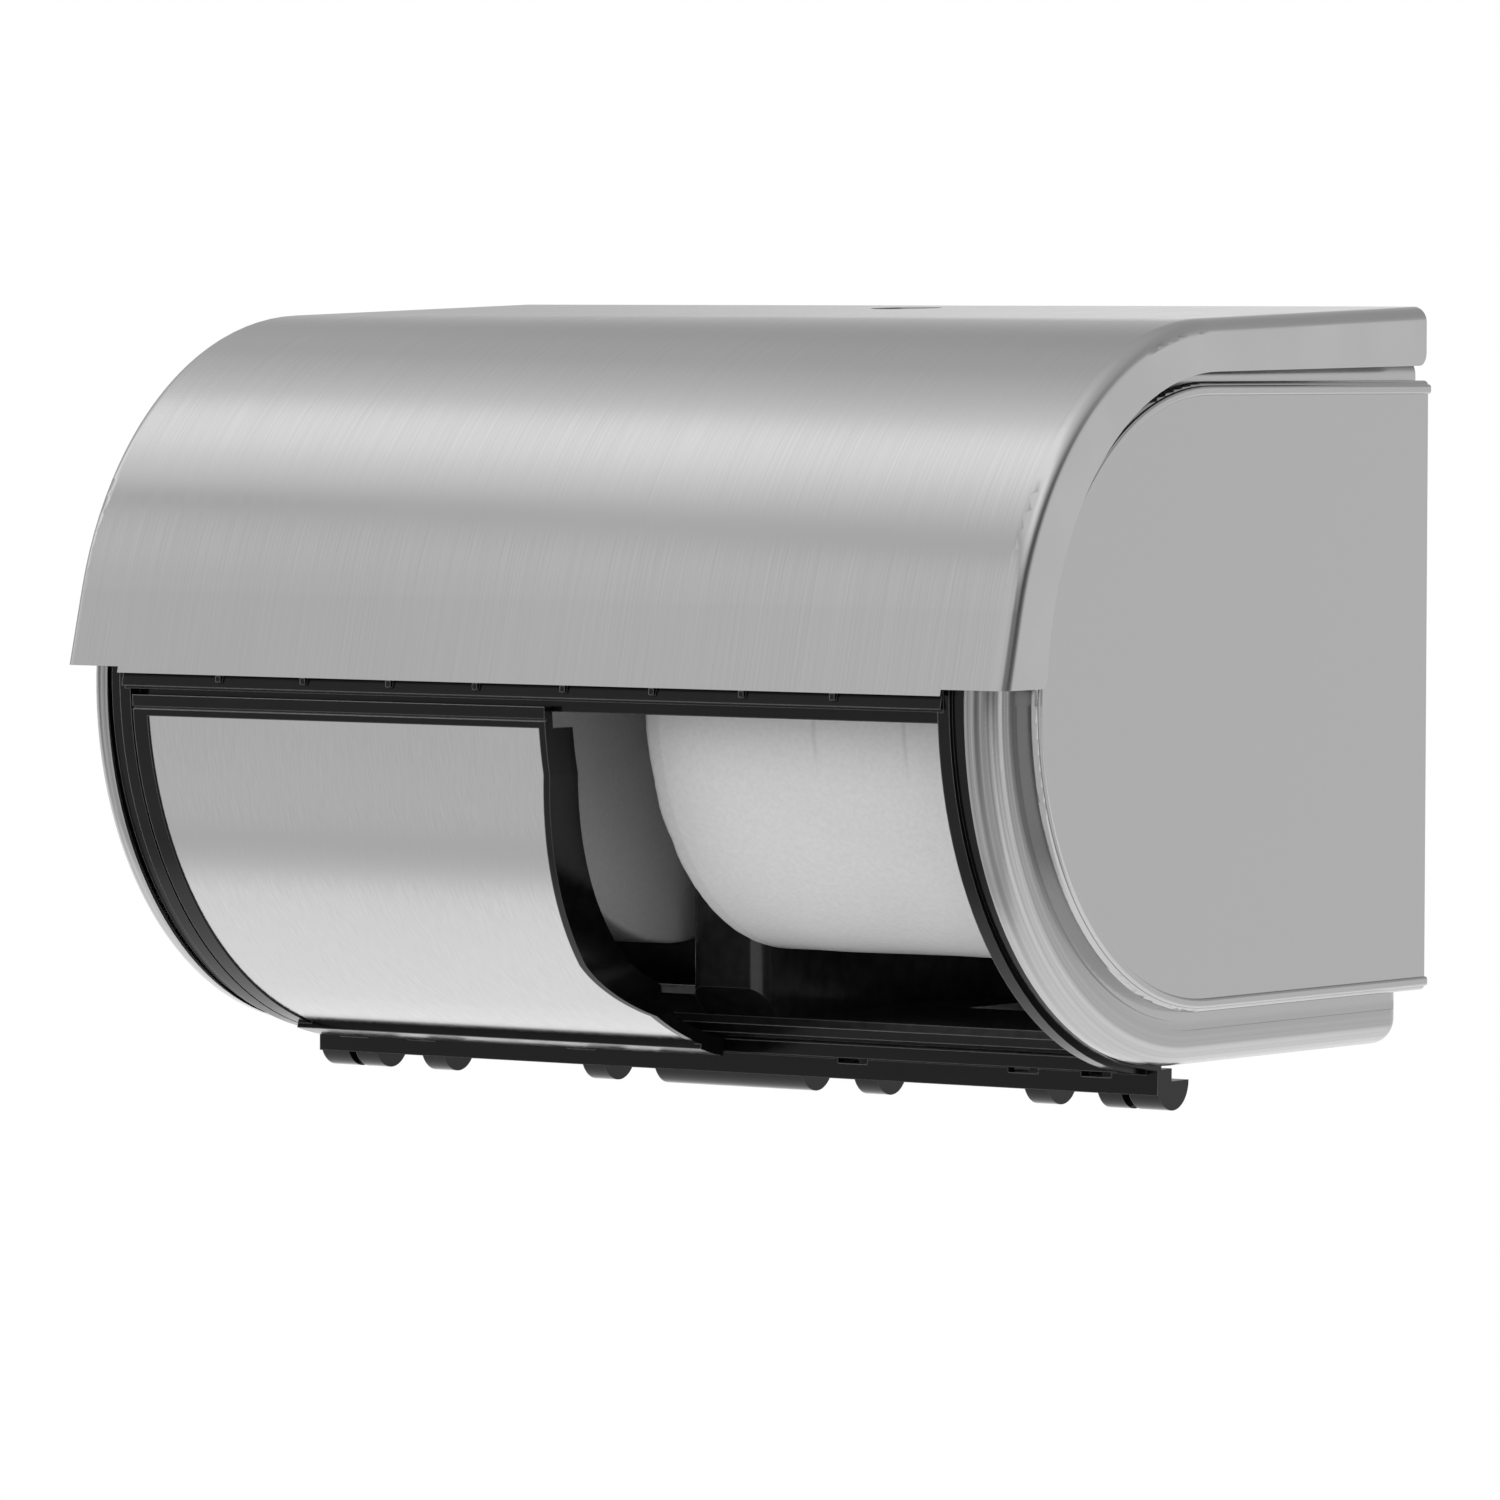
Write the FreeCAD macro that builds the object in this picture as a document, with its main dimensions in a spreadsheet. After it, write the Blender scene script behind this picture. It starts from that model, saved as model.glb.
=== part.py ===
import FreeCAD, Part
import os
import re
import Sketcher

# Two-roll tissue dispenser for a wall. Millimetres; +X to the right, -Y to the front, +Z up.
# The origin lies on the wall, level with the axis that both rolls turn on.

# Driving dimensions: name, size, what it measures. Angles are in degrees.
SIZES = [
    ("roll_radius", 60.0, "radius of a roll"),
    ("axis_room", 35.2, "surface of a full roll to the wall"),
    ("axis_depth", "=roll_radius + axis_room", "wall to the axis of the rolls"),
    ("hood_width", 257.0, "overall width, over the hood's side flanges"),
    ("hood_sheet", 0.8, "thickness of the hood's sheet"),
    ("hood_room", 24.0, "surface of a full roll to the hood's outer face"),
    ("hood_radius", "=roll_radius + hood_room", "outer radius of the hood's curve"),
    ("hood_slope", 1.8, "rise of the hood's top towards the wall"),
    ("hood_flare", 14.5, "lean of the straight stretch above the lower edge"),
    ("hood_low", 2.3, "height of the lower edge above the roll axis"),
    ("hood_bend", 3.6, "outer radius of the bend into the side flanges"),
    ("hood_rear_gap", 4.0, "wall to the hood's rear edge"),
    ("flange_drop", 13.5, "height of a side flange at the rear"),
    ("panel_inset", 14.0, "hood's outer face to the edge of the raised D"),
    ("panel_radius", "=hood_radius - panel_inset", "radius of the raised D of an end panel"),
    ("flange_reveal", 0.2, "flange's inner edge beyond the D"),
    ("flange_radius", "=panel_radius + flange_reveal", "radius of the flange's inner edge"),
    ("flange_shift", 2.0, "how far that edge's centre lies behind and above the roll axis"),
    ("flange_corner", 3.0, "rounding of the flange's corners"),
    ("notch_lift", 1.4, "how much higher the lower edge is at its ends"),
    ("notch_inset", 16.0, "length of that raised end"),
    ("panel_sheet", 0.9, "thickness of an end panel's sheet"),
    ("panel_gap", 1.1, "hood's flange to the raised D, sideways"),
    ("panel_edge", 1.2, "rounding of the raised D's edge"),
    ("panel_rise", 3.4, "height of the raised D over the rim"),
    ("bead_rise", 0.8, "height of the bead along the D"),
    ("bead_width", 2.2, "width of that bead"),
    ("bead_inset", 0.9, "edge of the D to the bead"),
    ("groove_width", 2.0, "width of the groove round the D"),
    ("groove_depth", 0.4, "depth of that groove"),
    ("groove_offset", 2.2, "edge of the D to the groove"),
    ("rim_inset", 1.8, "hood's outer face to the rim below it"),
    ("rim_radius", "=hood_radius - rim_inset", "radius of an end panel's rim, lower half"),
    ("rim_forward", 1.6, "rim's centre in front of the roll axis"),
    ("rim_cover", 7.5, "hood's outer face to the rim inside it"),
    ("rim_upper", "=hood_radius - rim_cover", "radius of the rim where the hood covers it"),
    ("rim_step", 5.5, "height at which the rim drops back under the hood"),
    ("rim_depth", 6.0, "sideways depth of the rim"),
    ("rim_round", 5.4, "rounding of the rim's outer edge"),
    ("rim_corner", 6.0, "rounding of the rim's corner by the wall"),
    ("rim_rear", 4.0, "wall to the rear end of the lower rim"),
    ("curve_back", 3.0, "roll axis back to the centre of the cover's front curve"),
    ("curve_depth", "=axis_depth - curve_back", "wall to that centre, and to the hinge axis below it"),
    ("curve_rise", 2.4, "height of that centre"),
    ("frame_over", 3.0, "front frame's radius over the hood's"),
    ("frame_radius", "=hood_radius + frame_over", "outer radius of the front frame"),
    ("frame_gap", 0.6, "frame to the end panel's rim, sideways"),
    ("rail_width", 6.2, "width of a side rail"),
    ("rail_depth", 6.4, "radial depth of a side rail"),
    ("rail_step", 1.1, "drop of the rail's outer ledge"),
    ("rail_ledge", 3.1, "width of that ledge"),
    ("rail_top", 5.0, "height of the side rails' upper end"),
    ("top_rail_low", -1.3, "underside of the top rail"),
    ("top_rail_high", 1.5, "upper side of the top rail"),
    ("top_rail_depth", 6.6, "depth of the top rail, front to back"),
    ("lip_low", -3.9, "lower edge of the lip that the door hangs on"),
    ("lip_setback", 3.6, "frame's front to the lip"),
    ("lip_thick", 1.8, "thickness of the lip"),
    ("hood_wall", 2.2, "thickness of the frame's wall behind the hood"),
    ("hood_wall_top", 19.0, "upper edge of that wall"),
    ("hood_wall_gap", 0.85, "hood's inner face to that wall"),
    ("rib_pitch", 24.0, "spacing of the small ribs under the hood's edge"),
    ("rib_width", 1.4, "width of a rib"),
    ("sill_angle", 81.5, "angle below level at which the bottom rail starts"),
    ("sill_end_angle", 86.5, "angle at which the bottom rail ends"),
    ("sill_depth", 3.0, "radial depth of the bottom rail"),
    ("sill_lip_angle", 75.5, "angle at which the bottom rail's inner lip starts"),
    ("sill_lip_thick", 2.2, "radial thickness of that lip"),
    ("hinge_below", 1.4, "lowest point of the frame's curve to the hinge axis"),
    ("hinge_drop", "=frame_radius - curve_rise + hinge_below", "hinge axis below the roll axis"),
    ("hinge_rod_radius", 2.0, "radius of the hinge rod"),
    ("hinge_play", 0.05, "radial running clearance on the hinge rod"),
    ("rod_end_gap", 4.6, "end of the hinge rod to the end hook"),
    ("hook_radius", 6.6, "radius of the hinge hooks"),
    ("hook_width", 6.2, "width of a hinge hook"),
    ("end_hook_width", 7.8, "width of the hook at each end"),
    ("end_hook_inset", 0.2, "end of the frame to the end hook"),
    ("hook_stem", 6.1, "thickness of a hook's stem"),
    ("skirt_thick", 2.7, "thickness of the skirt between the hooks"),
    ("skirt_low", 2.95, "skirt's lower edge below the hinge axis"),
    ("window_width", 8.0, "width of a cored window beside a hook"),
    ("window_height", 1.8, "height of that window"),
    ("window_drop", 0.6, "hinge axis up to the window's lower edge"),
    ("lug_radius", 3.5, "radius of a hinge lug on the floor"),
    ("door_right", 5.9, "right edge of the door"),
    ("door_side_play", 0.5, "door to the left rail"),
    ("door_shell", 2.0, "thickness of the door's carrier behind the skin"),
    ("door_skin_thick", 0.6, "thickness of the door's skin"),
    ("door_border", 4.0, "width of the carrier's left border"),
    ("door_edge", 1.8, "width of the carrier's right edge"),
    ("door_border_rise", 0.4, "border's height over the skin"),
    ("door_gap", 0.4, "door to the frame behind it"),
    ("door_top", -2.7, "height of the door's upper edge"),
    ("door_groove", -5.4, "height of the groove between the two ridges"),
    ("door_groove_width", 0.5, "width of that groove"),
    ("skin_top", -7.5, "height of the skin's upper edge"),
    ("skin_bottom_angle", 74.0, "angle below level of the skin's lower edge"),
    ("door_bottom_angle", 80.0, "angle below level of the door's lower edge"),
    ("door_rib_rise", 1.2, "rise of the door's lower border over the frame's curve"),
    ("return_depth", 7.4, "radial depth of the return flange on the right edge"),
    ("return_bottom_angle", 66.0, "angle below level at which that flange ends"),
    ("scoop_top", -18.0, "height where the hollow of the right edge starts"),
    ("scoop_middle", "=(curve_rise - frame_radius) * 0.733", "height where it is deepest"),
    ("scoop_depth", 8.6, "depth of the hollow"),
    ("scoop_bottom", "=(curve_rise - frame_radius) * 0.875", "height where it ends"),
    ("scoop_rise", 0.9, "how much of the hollow is left there"),
    ("scoop_radius", 14.0, "radius of the hollow below that"),
    ("tongue_thick", 1.6, "thickness of the tongue behind the lip"),
    ("tongue_gap", 0.6, "tongue to the lip"),
    ("roll_bore", 6.5, "radius of the hole through a roll"),
    ("roll_edge", 1.6, "rounding of a roll's edges"),
    ("roll_inner", 15.8, "middle of the dispenser to the inner end of a roll"),
    ("hub_play", 0.1, "radial play of a hub in the roll's hole"),
    ("hub_end_play", 0.3, "end play of a roll between its hubs"),
    ("hub_length", 11.5, "length of a hub's spigot"),
    ("hub_nose", 2.0, "taper on the spigot's nose"),
    ("hub_flange", 16.0, "radius of a hub's flange"),
    ("hub_flange_thick", 1.2, "thickness of that flange"),
    ("wall_thick", 2.4, "thickness of a side wall"),
    ("wall_gap", 0.5, "side wall to the end panel's rim, sideways"),
    ("wall_inset", 4.0, "edge of the raised D to the side wall's edge"),
    ("wall_radius", "=panel_radius - wall_inset", "radius of a side wall's front"),
    ("boss_radius", 4.0, "radius of the bosses under an end panel"),
    ("screw_radius", 1.5, "radius of a screw's shank"),
    ("screw_head", 3.0, "radius of a screw's head"),
    ("screw_head_thick", 1.2, "thickness of a screw's head"),
    ("screw_length", 9.0, "length of a screw's shank"),
    ("back_thick", 3.0, "thickness of the back plate"),
    ("back_inset", 1.0, "upper rim to the back plate's upper edge"),
    ("back_top", "=rim_upper - back_inset", "upper edge of the back plate"),
    ("back_rib", 5.0, "height of the back plate's ribs"),
    ("wall_hole_x", 152.4, "spacing of the wall screws, sideways"),
    ("wall_hole_z", 76.2, "spacing of the wall screws, upwards"),
    ("wall_hole_radius", 3.2, "radius of a wall screw hole"),
    ("wall_hole_pad", 8.0, "radius of the pad round a wall screw hole"),
    ("floor_inset", 8.6, "lowest point of the frame's curve to the floor's upper side"),
    ("floor_top", "=curve_rise - frame_radius + floor_inset", "upper side of the floor"),
    ("floor_thick", 2.4, "thickness of the floor"),
    ("floor_ahead", 3.8, "hinge axis to the floor's front edge"),
    ("floor_front", "=curve_depth + floor_ahead", "wall to the floor's front edge"),
    ("slot_width", 56.0, "width of a drain slot in the floor"),
    ("slot_depth", 26.0, "depth of that slot"),
    ("post_half", 10.2, "half the width of the post"),
    ("post_wall", 2.2, "thickness of the post's walls"),
    ("post_head", 20.0, "radius of the post's round head about the roll axis"),
    ("post_ahead", 4.4, "roll axis to the post's front face below the head"),
    ("post_round", 4.0, "rounding of the post's front edges"),
    ("lock_depth", 26.0, "wall to the lock's axis"),
    ("lock_radius", 8.0, "radius of the lock's barrel"),
    ("lock_play", 0.3, "play of the barrel in the hood"),
    ("lock_length", 20.0, "length of the barrel"),
    ("lock_sink", 0.5, "hood's outer face to the top of the barrel"),
    ("key_slot_length", 8.0, "length of the key slot"),
    ("key_slot_width", 1.8, "width of the key slot"),
    ("key_slot_depth", 6.0, "depth of the key slot"),
    ("nut_radius", 12.0, "radius of the lock's ring nut"),
    ("nut_thick", 3.0, "thickness of the ring nut"),
    ("cam_length", 16.5, "lock's axis to the cam's tip"),
    ("cam_width", 10.0, "width of the cam"),
    ("cam_thick", 2.0, "thickness of the cam"),
    ("cam_tip", 5.0, "height of the cam's upturned tip"),
    ("keeper_width", 8.0, "width of the keeper"),
    ("keeper_sheet", 2.0, "thickness of the keeper"),
    ("keeper_gap", 1.0, "cam to the keeper"),
    ("stud_radius", 1.5, "radius of a stud on the hood"),
    ("stud_length", 6.5, "length of a stud"),
    ("stud_height", 12.0, "height of the studs"),
    ("stud_pitch", 66.0, "spacing of the studs"),
    ("stud_nut_radius", 4.0, "radius of a stud's push nut"),
    ("stud_nut_thick", 1.6, "thickness of a push nut"),
    ("stud_play", 0.3, "play of a stud in the frame's wall"),
]
NAMES = {name for name, size, note in SIZES}

# Middles of the hinge hooks on the right half, as shares of the frame's half width; the left half mirrors them.
HOOKS = [0.325, 0.72, 0.887]
BARREL_SHARE = 0.176
# Middles of the floor's lugs that hold the hinge rod between those hooks, and their widths in hook widths.
LUGS = [(0.238, 0.9), (0.515, 2.0), (0.803, 1.0)]
STUDS_EACH_SIDE = 1
RIBS_EACH_SIDE = 4

doc = FreeCAD.newDocument("tissue_dispenser")
sheet = doc.addObject("Spreadsheet::Sheet", "Sizes")
for row, (name, size, note) in enumerate(SIZES, start=1):
    sheet.set(f"A{row}", name)
    sheet.set(f"B{row}", str(size))
    sheet.set(f"C{row}", note)
    sheet.setAlias(f"B{row}", name)
doc.recompute()


def bound(formula):
    """The formula with each size looked up in the sheet."""
    return re.sub(r"[a-z_]+", lambda word: "Sizes." + word[0] if word[0] in NAMES else word[0], str(formula))


def value(formula):
    """The formula's number, in millimetres or degrees."""
    return float(sheet.evalExpression(bound(formula)))


def tie(thing, prop, formula):
    """Binds a property to a formula of the sheet's sizes."""
    thing.setExpression(prop, bound(formula))


def new_body(label):
    body = doc.addObject("PartDesign::Body", label + "_body")
    body.Label = label
    return body


def arc_between(first, last, radius):
    """Arc of under half a circle; a positive radius turns left on the way, a negative one right."""
    chord = last - first
    rise = abs(radius) ** 2 - (chord.Length / 2) ** 2
    side = FreeCAD.Vector(-chord.y, chord.x, 0).normalize() * (rise ** 0.5)
    centre = (first + last) / 2 + (side if radius > 0 else -side)
    flat_x = FreeCAD.Vector(1, 0, 0)
    turn = FreeCAD.Vector(0, 0, 1)
    ends = (first, last) if radius > 0 else (last, first)
    angles = [flat_x.getAngle(end - centre) * (1 if (end - centre).y >= 0 else -1) for end in ends]
    return Part.ArcOfCircle(Part.Circle(centre, turn, abs(radius)), angles[0], angles[1])


def outline(body, name, plane_role, corners, start="0"):
    """Closed outline on one of the body's planes, moved along its normal by start.

    A corner is (across, up), or (across, up, radius) where the stretch to the next corner is round.
    """
    plane = next(item for item in body.Origin.OriginFeatures if item.Role == plane_role)
    sketch = body.newObject("Sketcher::SketchObject", name)
    sketch.AttachmentSupport = (plane, [""])
    sketch.MapMode = "FlatFace"
    tie(sketch, "AttachmentOffset.Base.z", start)
    points = [FreeCAD.Vector(value(corner[0]), value(corner[1]), 0) for corner in corners]
    ends = []
    for number, corner in enumerate(corners):
        first = points[number]
        last = points[(number + 1) % len(points)]
        if len(corner) == 3:
            radius = value(corner[2])
            shape = sketch.addGeometry(arc_between(first, last, radius))
            size = sketch.addConstraint(Sketcher.Constraint("Radius", shape, abs(radius)))
            tie(sketch, f"Constraints[{size}]", f"abs({corner[2]})")
            ends.append((shape, 1, 2) if radius > 0 else (shape, 2, 1))
        else:
            shape = sketch.addGeometry(Part.LineSegment(first, last))
            ends.append((shape, 1, 2))
    for number, corner in enumerate(corners):
        shape, start_point, end_point = ends[number]
        next_shape, next_start, next_end = ends[(number + 1) % len(ends)]
        sketch.addConstraint(Sketcher.Constraint("Coincident", shape, end_point, next_shape, next_start))
        for kind, formula, place in (("DistanceX", corner[0], points[number].x),
                                     ("DistanceY", corner[1], points[number].y)):
            size = sketch.addConstraint(Sketcher.Constraint(kind, -1, 1, shape, start_point, place))
            tie(sketch, f"Constraints[{size}]", formula)
    return sketch


def pad(body, name, plane_role, corners, start, length):
    """Adds the outline, drawn out along the plane's normal from start."""
    sketch = outline(body, name + "_outline", plane_role, corners, start)
    feature = body.newObject("PartDesign::Pad", name)
    feature.Profile = sketch
    tie(feature, "Length", length)
    return feature


def pocket(body, name, plane_role, corners, start, length):
    """Cuts the outline away, drawn along the plane's normal from start."""
    doc.recompute()
    before = body.Tip.Shape.Volume
    sketch = outline(body, name + "_outline", plane_role, corners, start)
    feature = body.newObject("PartDesign::Pocket", name)
    feature.Profile = sketch
    feature.Reversed = True
    tie(feature, "Length", length)
    doc.recompute()
    if not feature.Shape.Volume < before:
        raise RuntimeError(f"{name} cuts nothing away")
    return feature


def round_edges(body, name, radius, wanted):
    """Rounds the edges of the body so far that wanted picks."""
    doc.recompute()
    base = body.Tip
    picked = [f"Edge{number}" for number, edge in enumerate(base.Shape.Edges, 1) if wanted(edge)]
    feature = body.newObject("PartDesign::Fillet", name)
    feature.Base = (base, picked)
    tie(feature, "Radius", radius)
    return feature


def turned(label, corners, axis="H_Axis", start="axis_depth"):
    """A body of revolution, from a half outline on the plane through the rolls' axis."""
    body = new_body(label)
    sketch = outline(body, label + "_half_outline", "XZ_Plane", corners, start)
    feature = body.newObject("PartDesign::Revolution", label + "_turned")
    feature.Profile = sketch
    feature.ReferenceAxis = (sketch, [axis])
    feature.Angle = 360
    return body


def cylinder(label, radius, height, place, direction=(0, 0, 1)):
    """A round bar; place gives formulas for the middle of its first end."""
    bar = doc.addObject("Part::Cylinder", label)
    tie(bar, "Radius", radius)
    tie(bar, "Height", height)
    bar.Placement.Rotation = FreeCAD.Rotation(FreeCAD.Vector(0, 0, 1), FreeCAD.Vector(*direction))
    for axis, formula in zip("xyz", place):
        tie(bar, f"Placement.Base.{axis}", formula)
    return bar


def cut(label, base, tool):
    result = doc.addObject("Part::Cut", label + "_cut")
    result.Label = label
    result.Base = base
    result.Tool = tool
    return result


def fuse(label, pieces):
    result = doc.addObject("Part::MultiFuse", label + "_fuse")
    result.Label = label
    result.Shapes = pieces
    return result


def mirrored(label, source):
    """The same piece on the other side of the dispenser."""
    result = doc.addObject("Part::Mirroring", label + "_mirror")
    result.Label = label
    result.Source = source
    result.Normal = (1, 0, 0)
    return result


def group(label, pieces):
    """Like fasteners kept together as separate solids."""
    result = doc.addObject("Part::Compound", label + "_group")
    result.Label = label
    result.Links = pieces
    return result


def at_curve(radius, angle):
    """Point on the cover's front curve, at an angle below level, as formulas of Y and Z."""
    return (f"-curve_depth - ({radius}) * cos({angle})", f"curve_rise - ({radius}) * sin({angle})")


def at_height(radius, height):
    """Point on the cover's front curve at a height, as formulas of Y and Z."""
    return (f"-curve_depth - sqrt(({radius})^2 - ({height} - curve_rise)^2)", f"{height}")


def band(outer, inner, first_outer, first_inner, last_angle):
    """Curved strip of the cover: its two upper corners, then round to last_angle."""
    return [
        (*first_outer, f"({outer})"),
        at_curve(outer, last_angle),
        (*at_curve(inner, last_angle), f"-({inner})"),
        first_inner,
    ]


def level(edge, axis, place, reach=0.01):
    """Whether the whole edge lies at one place along an axis."""
    box_of_edge = edge.BoundBox
    low = getattr(box_of_edge, axis + "Min")
    high = getattr(box_of_edge, axis + "Max")
    return abs(low - place) < reach and abs(high - place) < reach


pieces = []


def hood_curve(inset, rear, low):
    """Outer line of the hood moved in by inset, from rear to low, as corners."""
    radius = f"(hood_radius - {inset})"
    top = f"({radius} / cos(hood_slope) + (axis_depth + {rear}) * tan(hood_slope))"
    bend_low = f"({radius} * sin(hood_flare))"
    return [
        (rear, top),
        (f"-axis_depth - {radius} * sin(hood_slope)", f"{radius} * cos(hood_slope)", radius),
        (f"-axis_depth - {radius} * cos(hood_flare)", bend_low),
        (f"-axis_depth - {radius} / cos(hood_flare) + ({low}) * tan(hood_flare)", low),
    ]


# Hood: a curved sheet with bent side flanges, cut from a band by the space inside it.
half = "hood_width / 2"
flange_centre = ("-axis_depth + flange_shift", "flange_shift")
flange_low = "(hood_low + notch_lift)"
flange_front = f"({flange_centre[0]} - sqrt(flange_radius^2 - ({flange_low} - {flange_centre[1]})^2))"
band_front = f"({flange_centre[0]} - sqrt(flange_radius^2 - (hood_low - {flange_centre[1]})^2))"
hood_outer = new_body("hood_band")
hood_rear_top = "hood_radius / cos(hood_slope) + (axis_depth - hood_rear_gap) * tan(hood_slope)"
pad(hood_outer, "hood_band_pad", "YZ_Plane", hood_curve("0", "-hood_rear_gap", "hood_low") + [
    (band_front, "hood_low", "-flange_radius"),
    (flange_centre[0], f"{flange_centre[1]} + flange_radius"),
    ("-hood_rear_gap", f"{hood_rear_top} - flange_drop"),
], f"-{half}", "hood_width")
hood_half = value(half)


def on_hood_curve(edge):
    """Edges where the hood's face meets its ends, on the outer side of the band."""
    if not (level(edge, "X", hood_half) or level(edge, "X", -hood_half)):
        return False
    if level(edge, "Y", -value("hood_rear_gap")) or level(edge, "Z", value(flange_low)):
        return False
    middle = edge.valueAt((edge.FirstParameter + edge.LastParameter) / 2)
    reach = ((middle.y + value("axis_depth")) ** 2 + middle.z ** 2) ** 0.5
    if middle.y > -value("axis_depth"):
        return middle.z > value("hood_radius") - value("flange_drop") / 2
    return reach > value("hood_radius") - value("flange_drop") / 2


def at_flange_corner(edge):
    """The long edges where a flange's inner edge ends, front and rear."""
    front = level(edge, "Z", value(flange_low)) and level(edge, "Y", value(flange_front))
    rear_height = value(f"{hood_rear_top} - flange_drop")
    rear = level(edge, "Y", -value("hood_rear_gap")) and level(edge, "Z", rear_height)
    return front or rear


for side, start in (("right", f"{half} - notch_inset"), ("left", f"-{half}")):
    pocket(hood_outer, f"hood_{side}_notch", "YZ_Plane", [
        ("-axis_depth - hood_radius * 2", "hood_low - notch_lift"),
        ("-axis_depth", "hood_low - notch_lift"),
        ("-axis_depth", "hood_low + notch_lift"),
        ("-axis_depth - hood_radius * 2", "hood_low + notch_lift"),
    ], start, "notch_inset")
round_edges(hood_outer, "hood_flange_corners", "flange_corner", at_flange_corner)
round_edges(hood_outer, "hood_bends", "hood_bend", on_hood_curve)
hood_inner = new_body("hood_space")
inside = "(hood_width / 2 - hood_sheet)"
below = "hood_low - flange_drop"
pad(hood_inner, "hood_space_pad", "YZ_Plane", hood_curve("hood_sheet", "hood_rear_gap", below) + [
    ("hood_rear_gap", below),
], f"-{inside}", f"2 * {inside}")


def on_space_curve(edge):
    inner_half = value(inside)
    if not (level(edge, "X", inner_half) or level(edge, "X", -inner_half)):
        return False
    middle = edge.valueAt((edge.FirstParameter + edge.LastParameter) / 2)
    return middle.z > value(below) + 1 and middle.y < value("hood_rear_gap") - 1


round_edges(hood_inner, "hood_space_bends", "hood_bend - hood_sheet", on_space_curve)
hood_shell = cut("hood_shell", hood_outer, hood_inner)
lock_top = "(hood_radius / cos(hood_slope) + (axis_depth - lock_depth) * tan(hood_slope))"
lock_hole = cylinder("lock_hole", "lock_radius + lock_play", "flange_drop",
                     ("0", "-lock_depth", f"{lock_top} - flange_drop / 2"))
pieces.append(cut("hood", hood_shell, lock_hole))

# End panels: the pressed outer form less the same form moved in by the sheet.
d_face = "(hood_width / 2 - hood_sheet - panel_gap)"
rim_face = f"({d_face} - panel_rise)"
rim_inner = f"({rim_face} - rim_depth)"
corner_height = "rim_corner - rim_radius"


def panel_form(prefix, inset, rear, start, rim_end):
    """The three stages of an end panel, each a body: lower rim, upper rim and raised D."""
    low_radius = f"(rim_radius - {inset})"
    rim_centre = "-axis_depth - rim_forward"
    step = f"(rim_step - {inset})"
    face = f"({rim_face} - {inset})"
    low = new_body(prefix + "_low")
    pad(low, prefix + "_low_pad", "YZ_Plane", [
        (f"{rim_centre} - sqrt({low_radius}^2 - {step}^2)", step, low_radius),
        (rim_centre, f"-{low_radius}"),
        ("-rim_rear - rim_corner", f"-{low_radius}", f"rim_corner - {inset}"),
        (f"-rim_rear - {inset}", corner_height),
    ] + rim_end, start, f"{face} - {start}")
    face_place = value(face)
    ends = [value(step), value(corner_height)]
    round_edges(low, prefix + "_low_round", f"rim_round - {inset}", lambda edge: (
        level(edge, "X", face_place) and edge.BoundBox.YLength > 1
        and not any(level(edge, "Z", end) for end in ends)))
    high_radius = f"(rim_upper - {inset})"
    high = new_body(prefix + "_high")
    pad(high, prefix + "_high_pad", "YZ_Plane", [
        (rear, "-rim_step"),
        (rear, high_radius),
        ("-axis_depth", high_radius, high_radius),
        (f"-axis_depth - {high_radius}", "0"),
        (f"-axis_depth - {high_radius}", "-rim_step"),
    ], start, f"{face} - {start}")
    round_edges(high, prefix + "_high_round", f"rim_round - {inset}", lambda edge: (
        level(edge, "X", face_place) and edge.BoundBox.YMin < -1 and edge.BoundBox.ZMax > 1))
    radius = f"(panel_radius - {inset})"
    raised = new_body(prefix + "_raised")
    top = f"({d_face} - {inset})"
    pad(raised, prefix + "_raised_pad", "YZ_Plane", [
        (rear, f"-{radius}"),
        (rear, radius),
        ("-axis_depth", radius, radius),
        (f"-axis_depth - {radius}", "0", radius),
        ("-axis_depth", f"-{radius}"),
    ], start, f"{top} - {start}")
    top_place = value(top)
    round_edges(raised, prefix + "_raised_round", f"panel_edge - {inset}", lambda edge: (
        level(edge, "X", top_place) and edge.BoundBox.YMin < -1))
    return [low, high, raised]


def d_strip(outer, inner):
    """Strip that follows the D from the wall, round the front and back to the wall."""
    return [
        ("0", outer),
        ("-axis_depth", outer, outer),
        (f"-axis_depth - {outer}", "0", outer),
        ("-axis_depth", f"-{outer}"),
        ("0", f"-{outer}"),
        ("0", f"-{inner}"),
        ("-axis_depth", f"-{inner}", f"-{inner}"),
        (f"-axis_depth - {inner}", "0", f"-{inner}"),
        ("-axis_depth", inner),
        ("0", inner),
    ]


bead = new_body("panel_bead")
bead_outer = "(panel_radius - bead_inset)"
pad(bead, "panel_bead_pad", "YZ_Plane", d_strip(bead_outer, f"({bead_outer} - bead_width)"),
    f"{d_face} - panel_sheet / 2", "bead_rise + panel_sheet / 2")
bead_top = value(f"{d_face} + bead_rise")
round_edges(bead, "panel_bead_round", "bead_rise * 0.9", lambda edge: (
    level(edge, "X", bead_top) and edge.BoundBox.YMin < -1))
groove = new_body("panel_groove")
groove_inner = "(panel_radius + groove_offset)"
groove_outer = f"({groove_inner} + groove_width)"
pad(groove, "panel_groove_pad", "YZ_Plane", [
    (f"-axis_depth - {groove_outer}", "0", groove_outer),
    ("-axis_depth", f"-{groove_outer}"),
    ("panel_sheet", f"-{groove_outer}"),
    ("panel_sheet", f"-{groove_inner}"),
    ("-axis_depth", f"-{groove_inner}", f"-{groove_inner}"),
    (f"-axis_depth - {groove_inner}", "0"),
], f"{rim_face} - groove_depth", "panel_rise")
outer_end = [("-rim_rear", "rim_step")]
inner_end = [("panel_sheet", corner_height), ("panel_sheet", "rim_step - panel_sheet")]
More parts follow.
